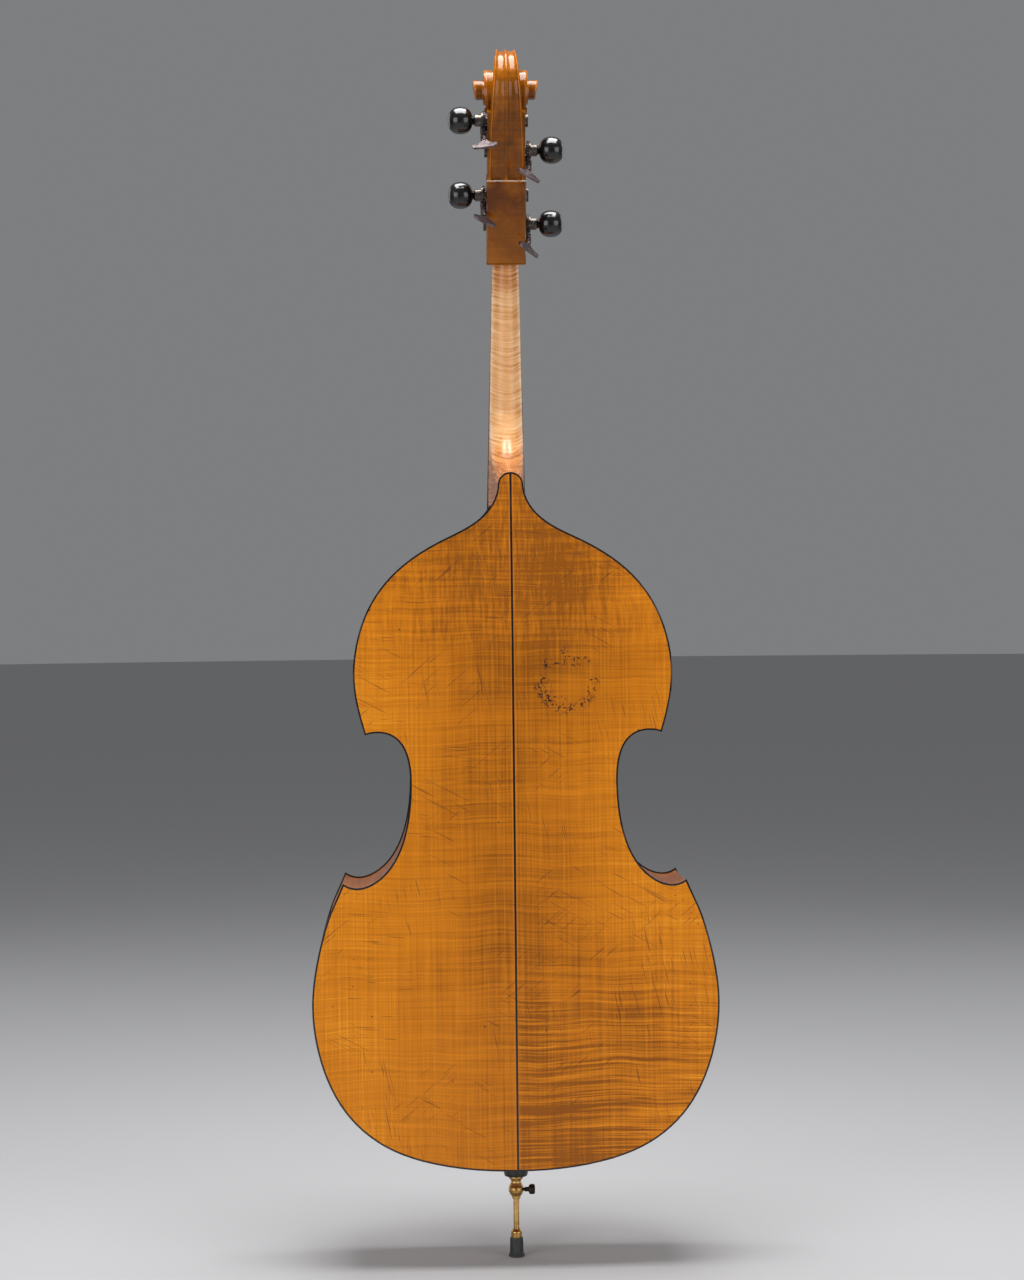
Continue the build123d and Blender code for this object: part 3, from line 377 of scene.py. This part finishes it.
def neck_maple():
    """Pale oiled maple with strong narrow flames that dip towards the middle of the shaft."""
    s = Shade("neck_maple", Roughness=0.38, Coat_Weight=0.25, Coat_Roughness=0.25)
    x, z = s.axis("X"), s.axis("Z")
    bend = s.sums("MULTIPLY", s.sums("MULTIPLY", x, x), 14.0)
    wander = s.sums("MULTIPLY", s.noise(s.scaled(28, 28, 12), 2.0), 0.010)
    push = s.new("ShaderNodeCombineXYZ")
    s.put(push.inputs["Z"], s.sums("SUBTRACT", wander, bend))
    moved = s.new("ShaderNodeVectorMath", operation="ADD")
    s.put(moved.inputs[0], s.place)
    s.put(moved.inputs[1], push.outputs[0])
    flame = s.noise(s.scaled(12, 12, 300, source=moved.outputs[0]), 2.0, 0.55)
    fine = s.noise(s.scaled(30, 30, 760, source=moved.outputs[0]), 1.0)
    grain = s.noise(s.scaled(420, 420, 4), 2.0)
    middle = s.fit(s.sums("ABSOLUTE", x), 0.021, 0.006)
    contrast = s.sums("MULTIPLY_ADD", middle, -0.55, 1.25)
    tone = s.swing(flame, contrast)
    tone = s.sums("ADD", s.swing(fine, 0.30), tone)
    tone = s.sums("ADD", s.swing(grain, 0.16), tone)
    # Painted shade: the heel is darkened where it curves round into the button. The neck is also darker near
    # the head.
    heel = s.fit(z, 1.42, 1.33)
    collar = s.fit(z, 1.640, 1.662)
    darker = s.sums("MULTIPLY_ADD", heel, 0.42, s.sums("MULTIPLY", collar, 0.22))
    tone = s.sums("SUBTRACT", s.sums("ADD", tone, 0.62), darker)
    tone = s.sums("MULTIPLY_ADD", middle, -0.05, tone)
    s.colour(s.ramp(tone, [(0.12, rgb(150, 84, 30)), (0.36, rgb(196, 126, 60)), (0.58, rgb(226, 168, 108)),
                           (0.85, rgb(240, 198, 150))]))
    s.rough(s.sums("MULTIPLY_ADD", grain, 0.12, 0.30))
    s.bump(s.sums("MULTIPLY_ADD", flame, 0.3, grain), 0.2, 0.0003)
    return s.mat


def head_maple(name, with_edge_highlights):
    """Red-brown varnish on the old head; when asked, its sharp edges get a painted highlight in pale orange.
    """
    s = Shade(name, Roughness=0.24, Coat_Weight=0.3, Coat_Roughness=0.04, Specular_IOR_Level=0.14)
    z = s.axis("Z")
    flame = s.noise(s.scaled(8, 8, 230), 2.0)
    grain = s.noise(s.scaled(330, 330, 6), 2.0)
    cloud = s.noise(s.scaled(22, 22, 14), 3.0, 0.6)
    tone = s.sums("MULTIPLY_ADD", cloud, 0.62, s.sums("MULTIPLY", grain, 0.16))
    tone = s.sums("MULTIPLY_ADD", flame, 0.22, tone)
    brown = s.ramp(tone, [(0.28, rgb(72, 35, 1)), (0.48, rgb(118, 64, 2)), (0.70, rgb(160, 92, 8))])
    pits = dark_dots(s, 110, 0.0007, 0.3)
    if with_edge_highlights:
        # Painted highlight: the sharpest edges are mixed towards pale orange, standing in for the glints on
        # the chamfers.
        painted_edge_highlight = s.fit(s.new("ShaderNodeNewGeometry").outputs["Pointiness"], 0.515, 0.56)
        brown = s.mix(s.sums("MULTIPLY", painted_edge_highlight, 0.7), brown, rgb(206, 118, 30))
    stain = s.sums("MULTIPLY", s.fit(z, 1.87, 1.83), s.fit(z, 1.76, 1.80))
    brown = s.mix(s.sums("MULTIPLY", stain, s.fit(cloud, 0.40, 0.60, 0.75, 0.25)), brown, rgb(78, 36, 2))
    lighter = s.sums("MULTIPLY", s.fit(z, 1.78, 1.70), 0.35)
    brown = s.mix(lighter, brown, rgb(144, 82, 8))
    s.colour(s.mix(s.sums("MULTIPLY", pits, 0.8), brown, rgb(52, 22, 6)))
    s.rough(s.sums("MULTIPLY_ADD", cloud, 0.18, 0.12))
    relief = s.sums("MULTIPLY_ADD", cloud, 0.4, s.sums("MULTIPLY", grain, 0.25))
    s.bump(s.sums("SUBTRACT", relief, pits), 0.22, 0.0005)
    return s.mat


def ebony():
    s = Shade("ebony", Roughness=0.34)
    grain = s.noise(s.scaled(260, 260, 9), 3.0, 0.6)
    streak = s.noise(s.scaled(40, 40, 2), 2.0)
    tone = s.sums("MULTIPLY_ADD", grain, 0.5, s.sums("MULTIPLY", streak, 0.5))
    s.colour(s.ramp(tone, [(0.4, rgb(18, 15, 14)), (0.62, rgb(34, 27, 24)), (0.8, rgb(58, 44, 36))]))
    s.rough(s.sums("MULTIPLY_ADD", grain, 0.25, 0.22))
    s.bump(grain, 0.25, 0.0003)
    return s.mat


def black_inlay():
    """Dyed edge strip, rubbed paler in scattered patches."""
    s = Shade("black_inlay", Roughness=0.2, Coat_Weight=0.2, Coat_Roughness=0.1)
    grain = s.noise(s.scaled(180, 180, 180), 3.0)
    rub = s.noise(s.scaled(16, 16, 16), 2.0)
    black = s.ramp(grain, [(0.3, rgb(5, 4, 4)), (0.7, rgb(22, 16, 15))])
    s.colour(s.mix(s.sums("MULTIPLY", s.fit(rub, 0.62, 0.74), 0.3), black, rgb(104, 60, 34)))
    s.rough(s.sums("MULTIPLY_ADD", grain, 0.16, 0.10))
    s.bump(grain, 0.15, 0.0002)
    return s.mat


def bridge_maple():
    s = Shade("bridge_maple", Roughness=0.5)
    fleck = s.cells(s.scaled(900, 260, 160), 1.0)
    grain = s.noise(s.scaled(20, 20, 420), 2.0)
    cloud = s.noise(s.scaled(24, 24, 24), 3.0)
    tone = s.sums("MULTIPLY_ADD", cloud, 0.4, s.sums("MULTIPLY", fleck, 0.12))
    tone = s.sums("MULTIPLY_ADD", grain, 0.5, tone)
    s.colour(s.ramp(tone, [(0.3, rgb(158, 106, 58)), (0.55, rgb(196, 148, 94)), (0.8, rgb(222, 182, 130))]))
    s.rough(s.sums("MULTIPLY_ADD", cloud, 0.2, 0.38))
    s.bump(grain, 0.2, 0.0003)
    return s.mat


# ---------------------------------------------------------------- metals, rubber and horn
def metal(name, dark, light, low, high, scale, bump, speck=0.0):
    """Worn metal: mottled colour, uneven polish and fine pitting."""
    s = Shade(name, Metallic=1.0, Roughness=low)
    cloud = s.noise(s.scaled(scale, scale, scale), 4.0, 0.65)
    fine = s.noise(s.scaled(scale * 9, scale * 9, scale * 9), 2.0)
    tone = s.sums("MULTIPLY_ADD", cloud, 0.7, s.sums("MULTIPLY", fine, 0.3))
    tint = s.ramp(tone, [(0.35, dark), (0.65, light)])
    if speck:
        tint = s.mix(s.sums("MULTIPLY", s.fit(fine, 0.60, 0.68), speck), tint, rgb(84, 50, 34))
    s.colour(tint)
    s.rough(s.sums("MULTIPLY_ADD", cloud, high - low, low))
    s.bump(s.sums("MULTIPLY_ADD", fine, 0.5, cloud), bump, 0.0003)
    return s.mat


def rubber():
    s = Shade("rubber", Roughness=0.7)
    fine = s.noise(s.scaled(600, 600, 600), 3.0)
    scuff = s.noise(s.scaled(60, 60, 25), 3.0)
    tone = s.sums("MULTIPLY_ADD", scuff, 0.6, s.sums("MULTIPLY", fine, 0.4))
    s.colour(s.ramp(tone, [(0.35, rgb(26, 27, 28)), (0.7, rgb(62, 62, 62))]))
    s.rough(s.sums("MULTIPLY_ADD", scuff, 0.25, 0.5))
    s.bump(fine, 0.3, 0.0003)
    return s.mat


def black_knob():
    """Polished black ball, rubbed brown where fingers turn it."""
    s = Shade("black_knob", Roughness=0.2, Coat_Weight=0.35, Coat_Roughness=0.06, Specular_IOR_Level=0.4)
    cloud = s.noise(s.scaled(60, 60, 60), 3.0, 0.6)
    fine = s.noise(s.scaled(420, 420, 90), 2.0)
    rubbed = s.sums("MULTIPLY", s.fit(cloud, 0.60, 0.74), 0.5)
    black = s.ramp(fine, [(0.3, rgb(4, 4, 5)), (0.75, rgb(14, 13, 14))])
    s.colour(s.mix(rubbed, black, rgb(58, 36, 24)))
    s.rough(s.sums("MULTIPLY_ADD", cloud, 0.16, 0.12))
    s.bump(s.sums("MULTIPLY_ADD", fine, 0.2, cloud), 0.12, 0.0004)
    return s.mat


def wound_string():
    """Flat-wound steel: fine rings along the string."""
    s = Shade("string_steel", Metallic=1.0, Roughness=0.35)
    wave = s.new("ShaderNodeTexWave", bands_direction="Z")
    s.put(wave.inputs["Vector"], s.place)
    wave.inputs["Scale"].default_value = 700
    dull = s.noise(s.scaled(90, 90, 12), 3.0)
    tone = s.sums("MULTIPLY_ADD", wave.outputs["Fac"], 0.3, s.sums("MULTIPLY", dull, 0.7))
    s.colour(s.ramp(tone, [(0.25, rgb(112, 108, 104)), (0.7, rgb(196, 193, 188))]))
    s.rough(s.sums("MULTIPLY_ADD", dull, 0.25, 0.25))
    s.bump(wave.outputs["Fac"], 0.25, 0.0001)
    return s.mat


MATERIALS = {
    "back_maple": varnished_back(),
    "rib_maple": varnished_ribs(),
    "black_inlay": black_inlay(),
    "top_spruce": varnished_spruce(),
    "inner_spruce": bare_spruce(),
    "neck_maple": neck_maple(),
    "head_maple": head_maple("head_maple", with_edge_highlights=True),
    "ebony": ebony(),
    "bridge_maple": bridge_maple(),
    "string_steel": wound_string(),
    "brass": metal("brass", rgb(168, 126, 66), rgb(224, 186, 118), 0.14, 0.36, 45, 0.10),
    "dark_steel": metal("dark_steel", rgb(40, 32, 28), rgb(84, 70, 60), 0.28, 0.5, 90, 0.25),
    "rubber": rubber(),
    "aged_iron": metal("aged_iron", rgb(58, 50, 50), rgb(128, 114, 116), 0.34, 0.6, 110, 0.45, speck=0.5),
    "gear_steel": metal("gear_steel", rgb(40, 36, 34), rgb(122, 114, 107), 0.22, 0.46, 120, 0.3, speck=0.35),
    "black_knob": black_knob(),
}
# The pegbox block gets the same varnish without the painted edge highlights.
PEGBOX_MAPLE = head_maple("pegbox_maple", with_edge_highlights=False)
SLOT_OF = {p["node"]: p["material_slot"] for p in frame["record"]["subparts"]}


def dress(obj, slot):
    """Give every material slot of an object one finish."""
    if not obj.material_slots:
        obj.data.materials.append(MATERIALS[slot])
    for entry in obj.material_slots:
        entry.material = MATERIALS[slot]


for node, obj in frame["nodes"].items():
    dress(obj, SLOT_OF[node])


# ---------------------------------------------------------------- mesh helpers
ROUNDED_FROM = math.radians(40)
FLAT_SHARP = 30


def through(table, t):
    """Smooth curve through (place, value) pairs."""
    last = len(table) - 1
    slope = []
    for i in range(last + 1):
        a, b = table[max(i - 1, 0)], table[min(i + 1, last)]
        slope.append((b[1] - a[1]) / (b[0] - a[0]))
    i = 0
    while i < last - 1 and t > table[i + 1][0]:
        i += 1
    (x0, y0), (x1, y1) = table[i], table[i + 1]
    w = x1 - x0
    s = min(1.0, max(0.0, (t - x0) / w))
    return ((1 + 2 * s) * (1 - s) ** 2 * y0 + s * (1 - s) ** 2 * w * slope[i]
            + s * s * (3 - 2 * s) * y1 - s * s * (1 - s) * w * slope[i + 1])


def skin(rings, caps=True):
    """Vertices and faces of a tube through rings of equally many points."""
    count = len(rings[0])
    verts = [p for ring in rings for p in ring]
    faces = []
    for i in range(len(rings) - 1):
        for j in range(count):
            k = (j + 1) % count
            faces.append((i * count + j, i * count + k, (i + 1) * count + k, (i + 1) * count + j))
    if caps:
        faces.append(tuple(reversed(range(count))))
        faces.append(tuple(range((len(rings) - 1) * count, len(rings) * count)))
    return verts, faces


def tidy_mesh(mesh, sharp):
    """Merge touching points, turn faces outwards and round the shading up to an angle."""
    work = bmesh.new()
    work.from_mesh(mesh)
    bmesh.ops.remove_doubles(work, verts=work.verts, dist=1e-6)
    bmesh.ops.dissolve_degenerate(work, edges=work.edges, dist=1e-6)
    bmesh.ops.recalc_face_normals(work, faces=work.faces)
    work.to_mesh(mesh)
    work.free()
    mesh.polygons.foreach_set("use_smooth", [True] * len(mesh.polygons))
    mesh.set_sharp_from_angle(angle=math.radians(sharp))
    mesh.update()


def make_piece(name, verts, faces, body, slot, node, sharp):
    """A new mesh that moves with a body, takes one finish and stands for a CAD node."""
    mesh = bpy.data.meshes.new(name)
    mesh.from_pydata([tuple(v) for v in verts], [], faces)
    tidy_mesh(mesh, sharp)
    obj = bpy.data.objects.new(name, mesh)
    bpy.context.collection.objects.link(obj)
    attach(obj, body)
    dress(obj, slot)
    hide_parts(node)


def add_meshes(parts):
    """Several (vertices, faces) pairs as one."""
    verts, faces = [], []
    for v, f in parts:
        start = len(verts)
        verts.extend(v)
        faces.extend([tuple(i + start for i in face) for face in f])
    return verts, faces


def copied(node, name):
    """A loose copy of a CAD node's mesh with its points merged and its flat faces made whole."""
    mesh = frame["nodes"][node].data.copy()
    mesh.name = name
    work = bmesh.new()
    work.from_mesh(mesh)
    bmesh.ops.remove_doubles(work, verts=work.verts, dist=2e-6)
    bmesh.ops.dissolve_limit(work, angle_limit=math.radians(0.4), verts=work.verts, edges=work.edges)
    for layer in list(work.loops.layers.uv):
        work.loops.layers.uv.remove(layer)
    work.to_mesh(mesh)
    work.free()
    if mesh.has_custom_normals:
        mesh.attributes.remove(mesh.attributes["custom_normal"])
    obj = bpy.data.objects.new(name, mesh)
    bpy.context.collection.objects.link(obj)
    return obj


def rounded(obj, width, shortest=0.0, segments=2, keep=None):
    """Round an object's sharp edges by a small width in metres; chosen edges get the full width."""
    work = bmesh.new()
    work.from_mesh(obj.data)
    chosen = []
    for e in work.edges:
        if len(e.link_faces) != 2 or e.calc_length() < shortest:
            continue
        if e.calc_face_angle(0.0) < ROUNDED_FROM:
            continue
        if keep and not keep((e.verts[0].co + e.verts[1].co) / 2):
            continue
        chosen.append(e)
    bmesh.ops.bevel(work, geom=chosen, offset=width, offset_type="OFFSET", segments=segments, profile=0.6,
                    affect="EDGES", clamp_overlap=keep is None)
    work.to_mesh(obj.data)
    work.free()


def soften(node, width):
    """Put a copy with rounded edges in a CAD node's place."""
    body = next(b for b, names in frame["record"]["behaviour"]["bodies"].items() if node in names)
    obj = copied(node, node + "_rounded")
    rounded(obj, width)
    tidy_mesh(obj.data, FLAT_SHARP)
    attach(obj, body)
    dress(obj, SLOT_OF[node])
    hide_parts(node)


# ---------------------------------------------------------------- head and scroll
HEAD_TILT = math.radians(22.0)
HEAD_Y = -45.0
HEAD_Z = 1704.0
EYE_V = -44.0
EYE_U = 287.0
LEDGE_U = 150.0
EYE_R = 16.4
EYE_HALF = 55.4
EYE_SIDES = 64
SPINE_RINGS = 47
VOLUTE_STEP = 4.0
VOLUTE_CORE = 14.0
FLUTE = 4.2
SIDE_HOLLOW = 2.4
EDGE_SHARE = 0.875
RIDGE_SHARE = 0.06
CORNER_WIDTH = 3.4
CORNER_SHORTEST = 30
CUTTER_HALF = 36


def head_point(x, v, u):
    """Millimetres across, behind and along the pegbox to a point in the shared frame."""
    y = HEAD_Y + v * math.cos(HEAD_TILT) + u * math.sin(HEAD_TILT)
    z = HEAD_Z - v * math.sin(HEAD_TILT) + u * math.cos(HEAD_TILT)
    return Vector((x, y, z)) * MM


def behind_and_along(point):
    """The inverse of head_point, without the distance across."""
    y, z = point.y / MM - HEAD_Y, point.z / MM - HEAD_Z
    behind = y * math.cos(HEAD_TILT) - z * math.sin(HEAD_TILT)
    along = y * math.sin(HEAD_TILT) + z * math.cos(HEAD_TILT)
    return behind, along


# Back of the pegbox: distance behind the pegbox line, and half width, by height.
SPINE_V = [(LEDGE_U, 31.5), (200, 31.0), (245, 30.0), (267, 29.2), (EYE_U, 28.0)]
SPINE_HALF = [(LEDGE_U, 31.6), (209, 29.8), (250, 27.8), (EYE_U, 25.6)]
# Volute: radius and half width, by degrees turned from straight behind the eye.
VOLUTE_END = 780
VOLUTE_R = [(0, 72), (45, 71.3), (90, 69), (180, 62.5), (270, 53.5), (360, 42.5), (450, 35), (540, 30.5),
            (630, 26.5), (720, 21.5), (VOLUTE_END, 17)]
VOLUTE_HALF = [(0, 25.6), (42, 21.4), (84, 17.2), (112, 16.5), (180, 18.5), (240, 22.5), (292, 28.5),
               (330, 33.6), (360, 36), (400, 36.6), (540, 37.4), (720, 39), (VOLUTE_END, 42)]
# Places across the back: the middle ridge, the two hollowed flutes and the cut edge.
ONE_SIDE = [1.0, 0.985, 0.95, 0.91, EDGE_SHARE, 0.85, 0.8, 0.72, 0.62, 0.5, 0.38, 0.28, 0.19, 0.12, 0.075,
            0.055, 0.03]
ACROSS = [-a for a in ONE_SIDE] + [0.0] + list(reversed(ONE_SIDE))


def across_height(a, flute, edge_cut):
    """Height of the carved back at a share of its half width."""
    a = abs(a)
    if a > EDGE_SHARE:
        return -edge_cut * ((a - EDGE_SHARE) / (1 - EDGE_SHARE)) ** 1.25
    if a > RIDGE_SHARE:
        t = min(1.0, (a - RIDGE_SHARE) / (EDGE_SHARE - RIDGE_SHARE))
        return -flute * (1 - (2 * t - 1) ** 2) ** 0.85
    return -0.25 * (a / RIDGE_SHARE) ** 2


def volute_ring(v, u, out_v, out_u, half, thick, flute, edge_cut, hollow):
    """One cross-section of the carved back and turns."""
    ring = []
    for a in ACROSS:
        h = across_height(a, flute, edge_cut)
        ring.append(head_point(a * half, v + out_v * h, u + out_u * h))
    side = [(0.30, 0.15), (0.55, 0.6), (0.8, 0.95), (1.0, 1.0)]
    right = [(half - hollow * w, -edge_cut - (thick - edge_cut) * t) for t, w in side]
    left = [(-x, h) for x, h in reversed(right)]
    for x, h in right + left:
        ring.append(head_point(x, v + out_v * h, u + out_u * h))
    return ring


def build_scroll():
    """The fluted back from the ledge up to the eyes, then two turns and a bit round them."""
    rings = []
    for i in range(SPINE_RINGS):
        u = LEDGE_U + (EYE_U - LEDGE_U) * i / (SPINE_RINGS - 1)
        v = through(SPINE_V, u)
        slope = (through(SPINE_V, u + 1) - through(SPINE_V, u - 1)) / 2
        out = Vector((1, -slope)).normalized()
        near_ledge = max(0.0, 1 - (u - LEDGE_U) / 34)
        flute = FLUTE + 2.6 * near_ledge ** 1.5
        hollow = SIDE_HOLLOW * max(0.0, (u - 240) / 47)
        thick = 8.0 + 22.0 * max(0.0, (u - 230) / 57) ** 1.5
        rings.append(volute_ring(v, u, out.x, out.y, through(SPINE_HALF, u), thick, flute, 2.2, hollow))
    for i in range(1, round(VOLUTE_END / VOLUTE_STEP) + 1):
        degrees = VOLUTE_STEP * i
        a = math.radians(degrees)
        r = through(VOLUTE_R, degrees)
        half = through(VOLUTE_HALF, degrees)
        flute = FLUTE if degrees < 60 else max(1.6, FLUTE - (degrees - 60) / 60)
        inner = through(VOLUTE_R, degrees + 360) if degrees < 400 else VOLUTE_CORE
        thick = max(30.0 * (1 - degrees / 40), r - inner + 2.0)
        rings.append(volute_ring(EYE_V + r * math.cos(a), EYE_U + r * math.sin(a), math.cos(a), math.sin(a),
                                 half, thick, flute, 2.0, SIDE_HOLLOW))
    return skin(rings)


def build_eyes():
    """The round core of the turns, with a rounded button at each end."""
    profile = [(0.0, EYE_R), (44.0, EYE_R), (50.5, EYE_R), (53.2, EYE_R - 0.3), (54.8, EYE_R - 1.3),
               (EYE_HALF, EYE_R - 3.0), (EYE_HALF - 0.1, EYE_R - 6.5), (EYE_HALF - 0.6, 6.0),
               (EYE_HALF - 0.5, 3.0)]
    stations = [(-x, r) for x, r in reversed(profile)] + profile[1:]
    rings = []
    for x, r in stations:
        ring = []
        for i in range(EYE_SIDES):
            a = 2 * math.pi * i / EYE_SIDES
            lean = 1.0 - 0.035 * (1 - math.sin(a - 0.4)) * max(0.0, abs(x) - 40) / 15
            ring.append(head_point(x * lean, EYE_V + r * math.cos(a), EYE_U + r * math.sin(a)))
        rings.append(ring)
    return skin(rings)


def prism(outline, half):
    """Closed prism across the head from an outline of (behind, along)."""
    left = [head_point(-half, v, u) for v, u in outline]
    right = [head_point(half, v, u) for v, u in outline]
    return skin([left, right])


def block_corner(middle):
    """Whether an edge is one of the solid block's outer corners, below the ledge."""
    v, u = behind_and_along(middle)
    return v > 8 and u < LEDGE_U - 1 and (abs(middle.x) > 33 * MM or v > 30)


def build_head():
    """The CAD pegbox below the volute, with its outer corners rounded."""
    top = LEDGE_U - 0.1
    outline = [(-60, -20), (60, -20), (60, top), (24, top), (24, 264), (-14, 264), (-32, 236), (-60, 230)]
    verts, faces = prism(outline, CUTTER_HALF)
    cutter_mesh = bpy.data.meshes.new("cutter")
    cutter_mesh.from_pydata([tuple(v) for v in verts], [], faces)
    tidy_mesh(cutter_mesh, FLAT_SHARP)
    cutter = bpy.data.objects.new("cutter", cutter_mesh)
    bpy.context.collection.objects.link(cutter)
    pegbox = copied("head", "pegbox")
    cut = pegbox.modifiers.new("cut", "BOOLEAN")
    cut.operation = "INTERSECT"
    cut.object = cutter
    cut.solver = "EXACT"
    bpy.context.view_layer.update()
    result = bpy.data.meshes.new_from_object(pegbox.evaluated_get(bpy.context.evaluated_depsgraph_get()))
    pegbox.modifiers.clear()
    pegbox.data = result
    bpy.data.objects.remove(cutter)
    rounded(pegbox, CORNER_WIDTH * MM, shortest=CORNER_SHORTEST * MM, segments=4, keep=block_corner)
    tidy_mesh(pegbox.data, FLAT_SHARP)
    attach(pegbox, "body")
    for entry in pegbox.material_slots:
        entry.material = PEGBOX_MAPLE
    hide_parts("head")


build_head()
make_piece("scroll", *build_scroll(), "body", "head_maple", "head", sharp=38)
make_piece("scroll_eyes", *build_eyes(), "body", "head_maple", "head", sharp=40)

# ---------------------------------------------------------------- neck and heel
NECK_TILT = math.radians(10.4)
NUT_Y = -59.0
NUT_Z = 1700.0
BUTTON_R = 21.5
BUTTON_TOP = 1335.5
SHAFT_START = -32.0
SHAFT_END = 255.0
HEEL_END = 418.0
BUTTON_SPAN = 38.0
BUTTON_FOOT = 1246.0
SHAFT_RINGS = 42
BUTTON_RINGS = 24
SHAFT_DEPTH = [(SHAFT_START, 27), (0, 27), (210, 28.5), (300, 30), (440, 32)]
SHAFT_HALF = [(SHAFT_START, 22.6), (0, 23), (210, 27.5), (440, 32.5)]
HEEL_CURVE = [(-70.5, 1420), (-57, 1391), (-20, 1360.5), (35, 1343.5), (77.1, BUTTON_TOP)]


def back_inner_y(z):
    """Inner face of the back plate, which folds forward towards the heel."""
    return 100.0 - math.tan(math.radians(4.5)) * max(0.0, z - 1045.0)


def glue_point(t):
    """Point (y, z) of the fingerboard's glue plane, t below the nut."""
    return Vector((NUT_Y - t * math.sin(NECK_TILT), NUT_Z - t * math.cos(NECK_TILT)))


def spaced_line(points, step):
    """Even points along a smooth curve through (y, z) points."""
    lengths = [0.0]
    for p, q in zip(points, points[1:]):
        lengths.append(lengths[-1] + math.dist(p, q))
    ys = [(s, p[0]) for s, p in zip(lengths, points)]
    zs = [(s, p[1]) for s, p in zip(lengths, points)]
    count = round(lengths[-1] / step)
    return [Vector((through(ys, lengths[-1] * i / count), through(zs, lengths[-1] * i / count)))
            for i in range(count + 1)]


def neck_stations():
    """Pairs of front and back points, in the side view, that fan round the heel."""
    back_dir = Vector((math.cos(NECK_TILT), -math.sin(NECK_TILT)))
    stations = []
    for i in range(SHAFT_RINGS):
        t = SHAFT_START + (SHAFT_END - SHAFT_START) * i / SHAFT_RINGS
        stations.append((glue_point(t), glue_point(t) + back_dir * through(SHAFT_DEPTH, t), t))
    joint = glue_point(SHAFT_END) + back_dir * through(SHAFT_DEPTH, SHAFT_END)
    heel = spaced_line([tuple(joint)] + HEEL_CURVE, 3.0)
    for i, p in enumerate(heel):
        t = SHAFT_END + (HEEL_END - SHAFT_END) * i / (len(heel) - 1)
        stations.append((glue_point(t), p, t))
    for i in range(1, BUTTON_RINGS + 1):
        z = BUTTON_TOP - (BUTTON_TOP - BUTTON_FOOT) * i / BUTTON_RINGS
        t = HEEL_END + BUTTON_SPAN * i / BUTTON_RINGS
        stations.append((glue_point(t), Vector((back_inner_y(z), z)), t))
    return stations


def gap_to(p, line):
    """Distance from a point to a line of points in the side view."""
    gap = math.inf
    for a, b in zip(line, line[1:]):
        d = b - a
        f = max(0.0, min(1.0, (p - a).dot(d) / d.length_squared))
        gap = min(gap, (p - (a + d * f)).length)
    return gap


def build_neck():
    """One skin through shaft, heel and button; its sides round off towards the back edge."""
    stations = neck_stations()
    first_button = len(stations) - BUTTON_RINGS
    edge = [back for _, back, _ in stations[:first_button]]
    shares = [1.0, 0.995, 0.98, 0.955, 0.92, 0.88, 0.83, 0.775, 0.715, 0.65, 0.58, 0.5, 0.42, 0.33, 0.24,
              0.15, 0.07, 0.0]
    rings = []
    for number, (front, back, t) in enumerate(stations):
        top = through(SHAFT_HALF, t)
        heel_share = min(1.0, max(0.0, (t - SHAFT_END + 10) / 90))
        line = []
        for s in shares:
            p = front + (back - front) * s
            gap = 0.0
            if s < 1:
                gap = gap_to(p, edge)
            elif number >= first_button:
                gap = min(BUTTON_TOP - p.y, gap_to(p, edge))
            plan = 33.0 - 11.5 * min(1.0, max(0.0, (p.x + 160) / 220))
            wide = top + (min(top, plan) - top) * heel_share
            depth = (back - front).length
            radius = depth + (BUTTON_R - depth) * heel_share if heel_share < 1 else BUTTON_R
            round_off = 1 - min(1.0, gap / radius)
            line.append((wide * math.sqrt(max(0.0, 1 - round_off ** 2)), p))
        right = [Vector((x, p.x, p.y)) * MM for x, p in line]
        left = [Vector((-x, p.x, p.y)) * MM for x, p in reversed(line)]
        rings.append(right + left)
    return skin(rings)


make_piece("neck_carved", *build_neck(), "body", "neck_maple", "neck", sharp=50)

# ---------------------------------------------------------------- strings wound on the rollers
STRING_R = {"d": 0.85, "a": 1.10, "g": 0.65, "e": 1.35}
WIND_R = 9.6
CORE_R = 7.0
COIL_STEPS = 28
COIL_SIDES = 8
CORE_SIDES = 40


def build_winding(name):
    """Coil of string round a roller, over a plain inner layer."""
    low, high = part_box("winding_" + name)
    centre = (low + high) / 2
    r = STRING_R[name] * MM
    width = high.x - low.x - 2 * r
    turns = max(2, int(width / (2.04 * r)))
    path_r = WIND_R * MM - r
    section = [2 * math.pi * j / COIL_SIDES for j in range(COIL_SIDES)]
    side = Vector((1, 0, 0))
    rings = []
    steps = COIL_STEPS * turns
    for i in range(steps + 1):
        a = 2 * math.pi * i / COIL_STEPS
        x = centre.x - width / 2 + width * i / steps
        out = Vector((0, math.cos(a), math.sin(a)))
        middle = Vector((x, centre.y, centre.z)) + out * path_r
        rings.append([middle + (out * math.cos(b) + side * math.sin(b)) * r for b in section])
    layer_r = WIND_R - 1.3 * r / MM
    inner = []
    for x, radius in ((low.x, CORE_R), (low.x, layer_r), (high.x, layer_r), (high.x, CORE_R)):
        ring = []
        for k in range(CORE_SIDES):
            a = 2 * math.pi * k / CORE_SIDES
            out = Vector((0, math.cos(a), math.sin(a)))
            ring.append(Vector((x, centre.y, centre.z)) + out * radius * MM)
        inner.append(ring)
    return add_meshes([skin(rings), skin(inner, caps=False)])


for name in MACHINES:
    coil = build_winding(name)
    make_piece("coil_" + name, *coil, "peg_" + name, "string_steel", "winding_" + name, sharp=60)

# ---------------------------------------------------------------- CAD pieces with their edges eased
for node, width in (("binding", 0.7), ("bridge", 0.8), ("tailpiece", 1.2), ("fingerboard", 0.8), ("nut", 0.6),
                    ("saddle", 0.8)):
    soften(node, width * MM)
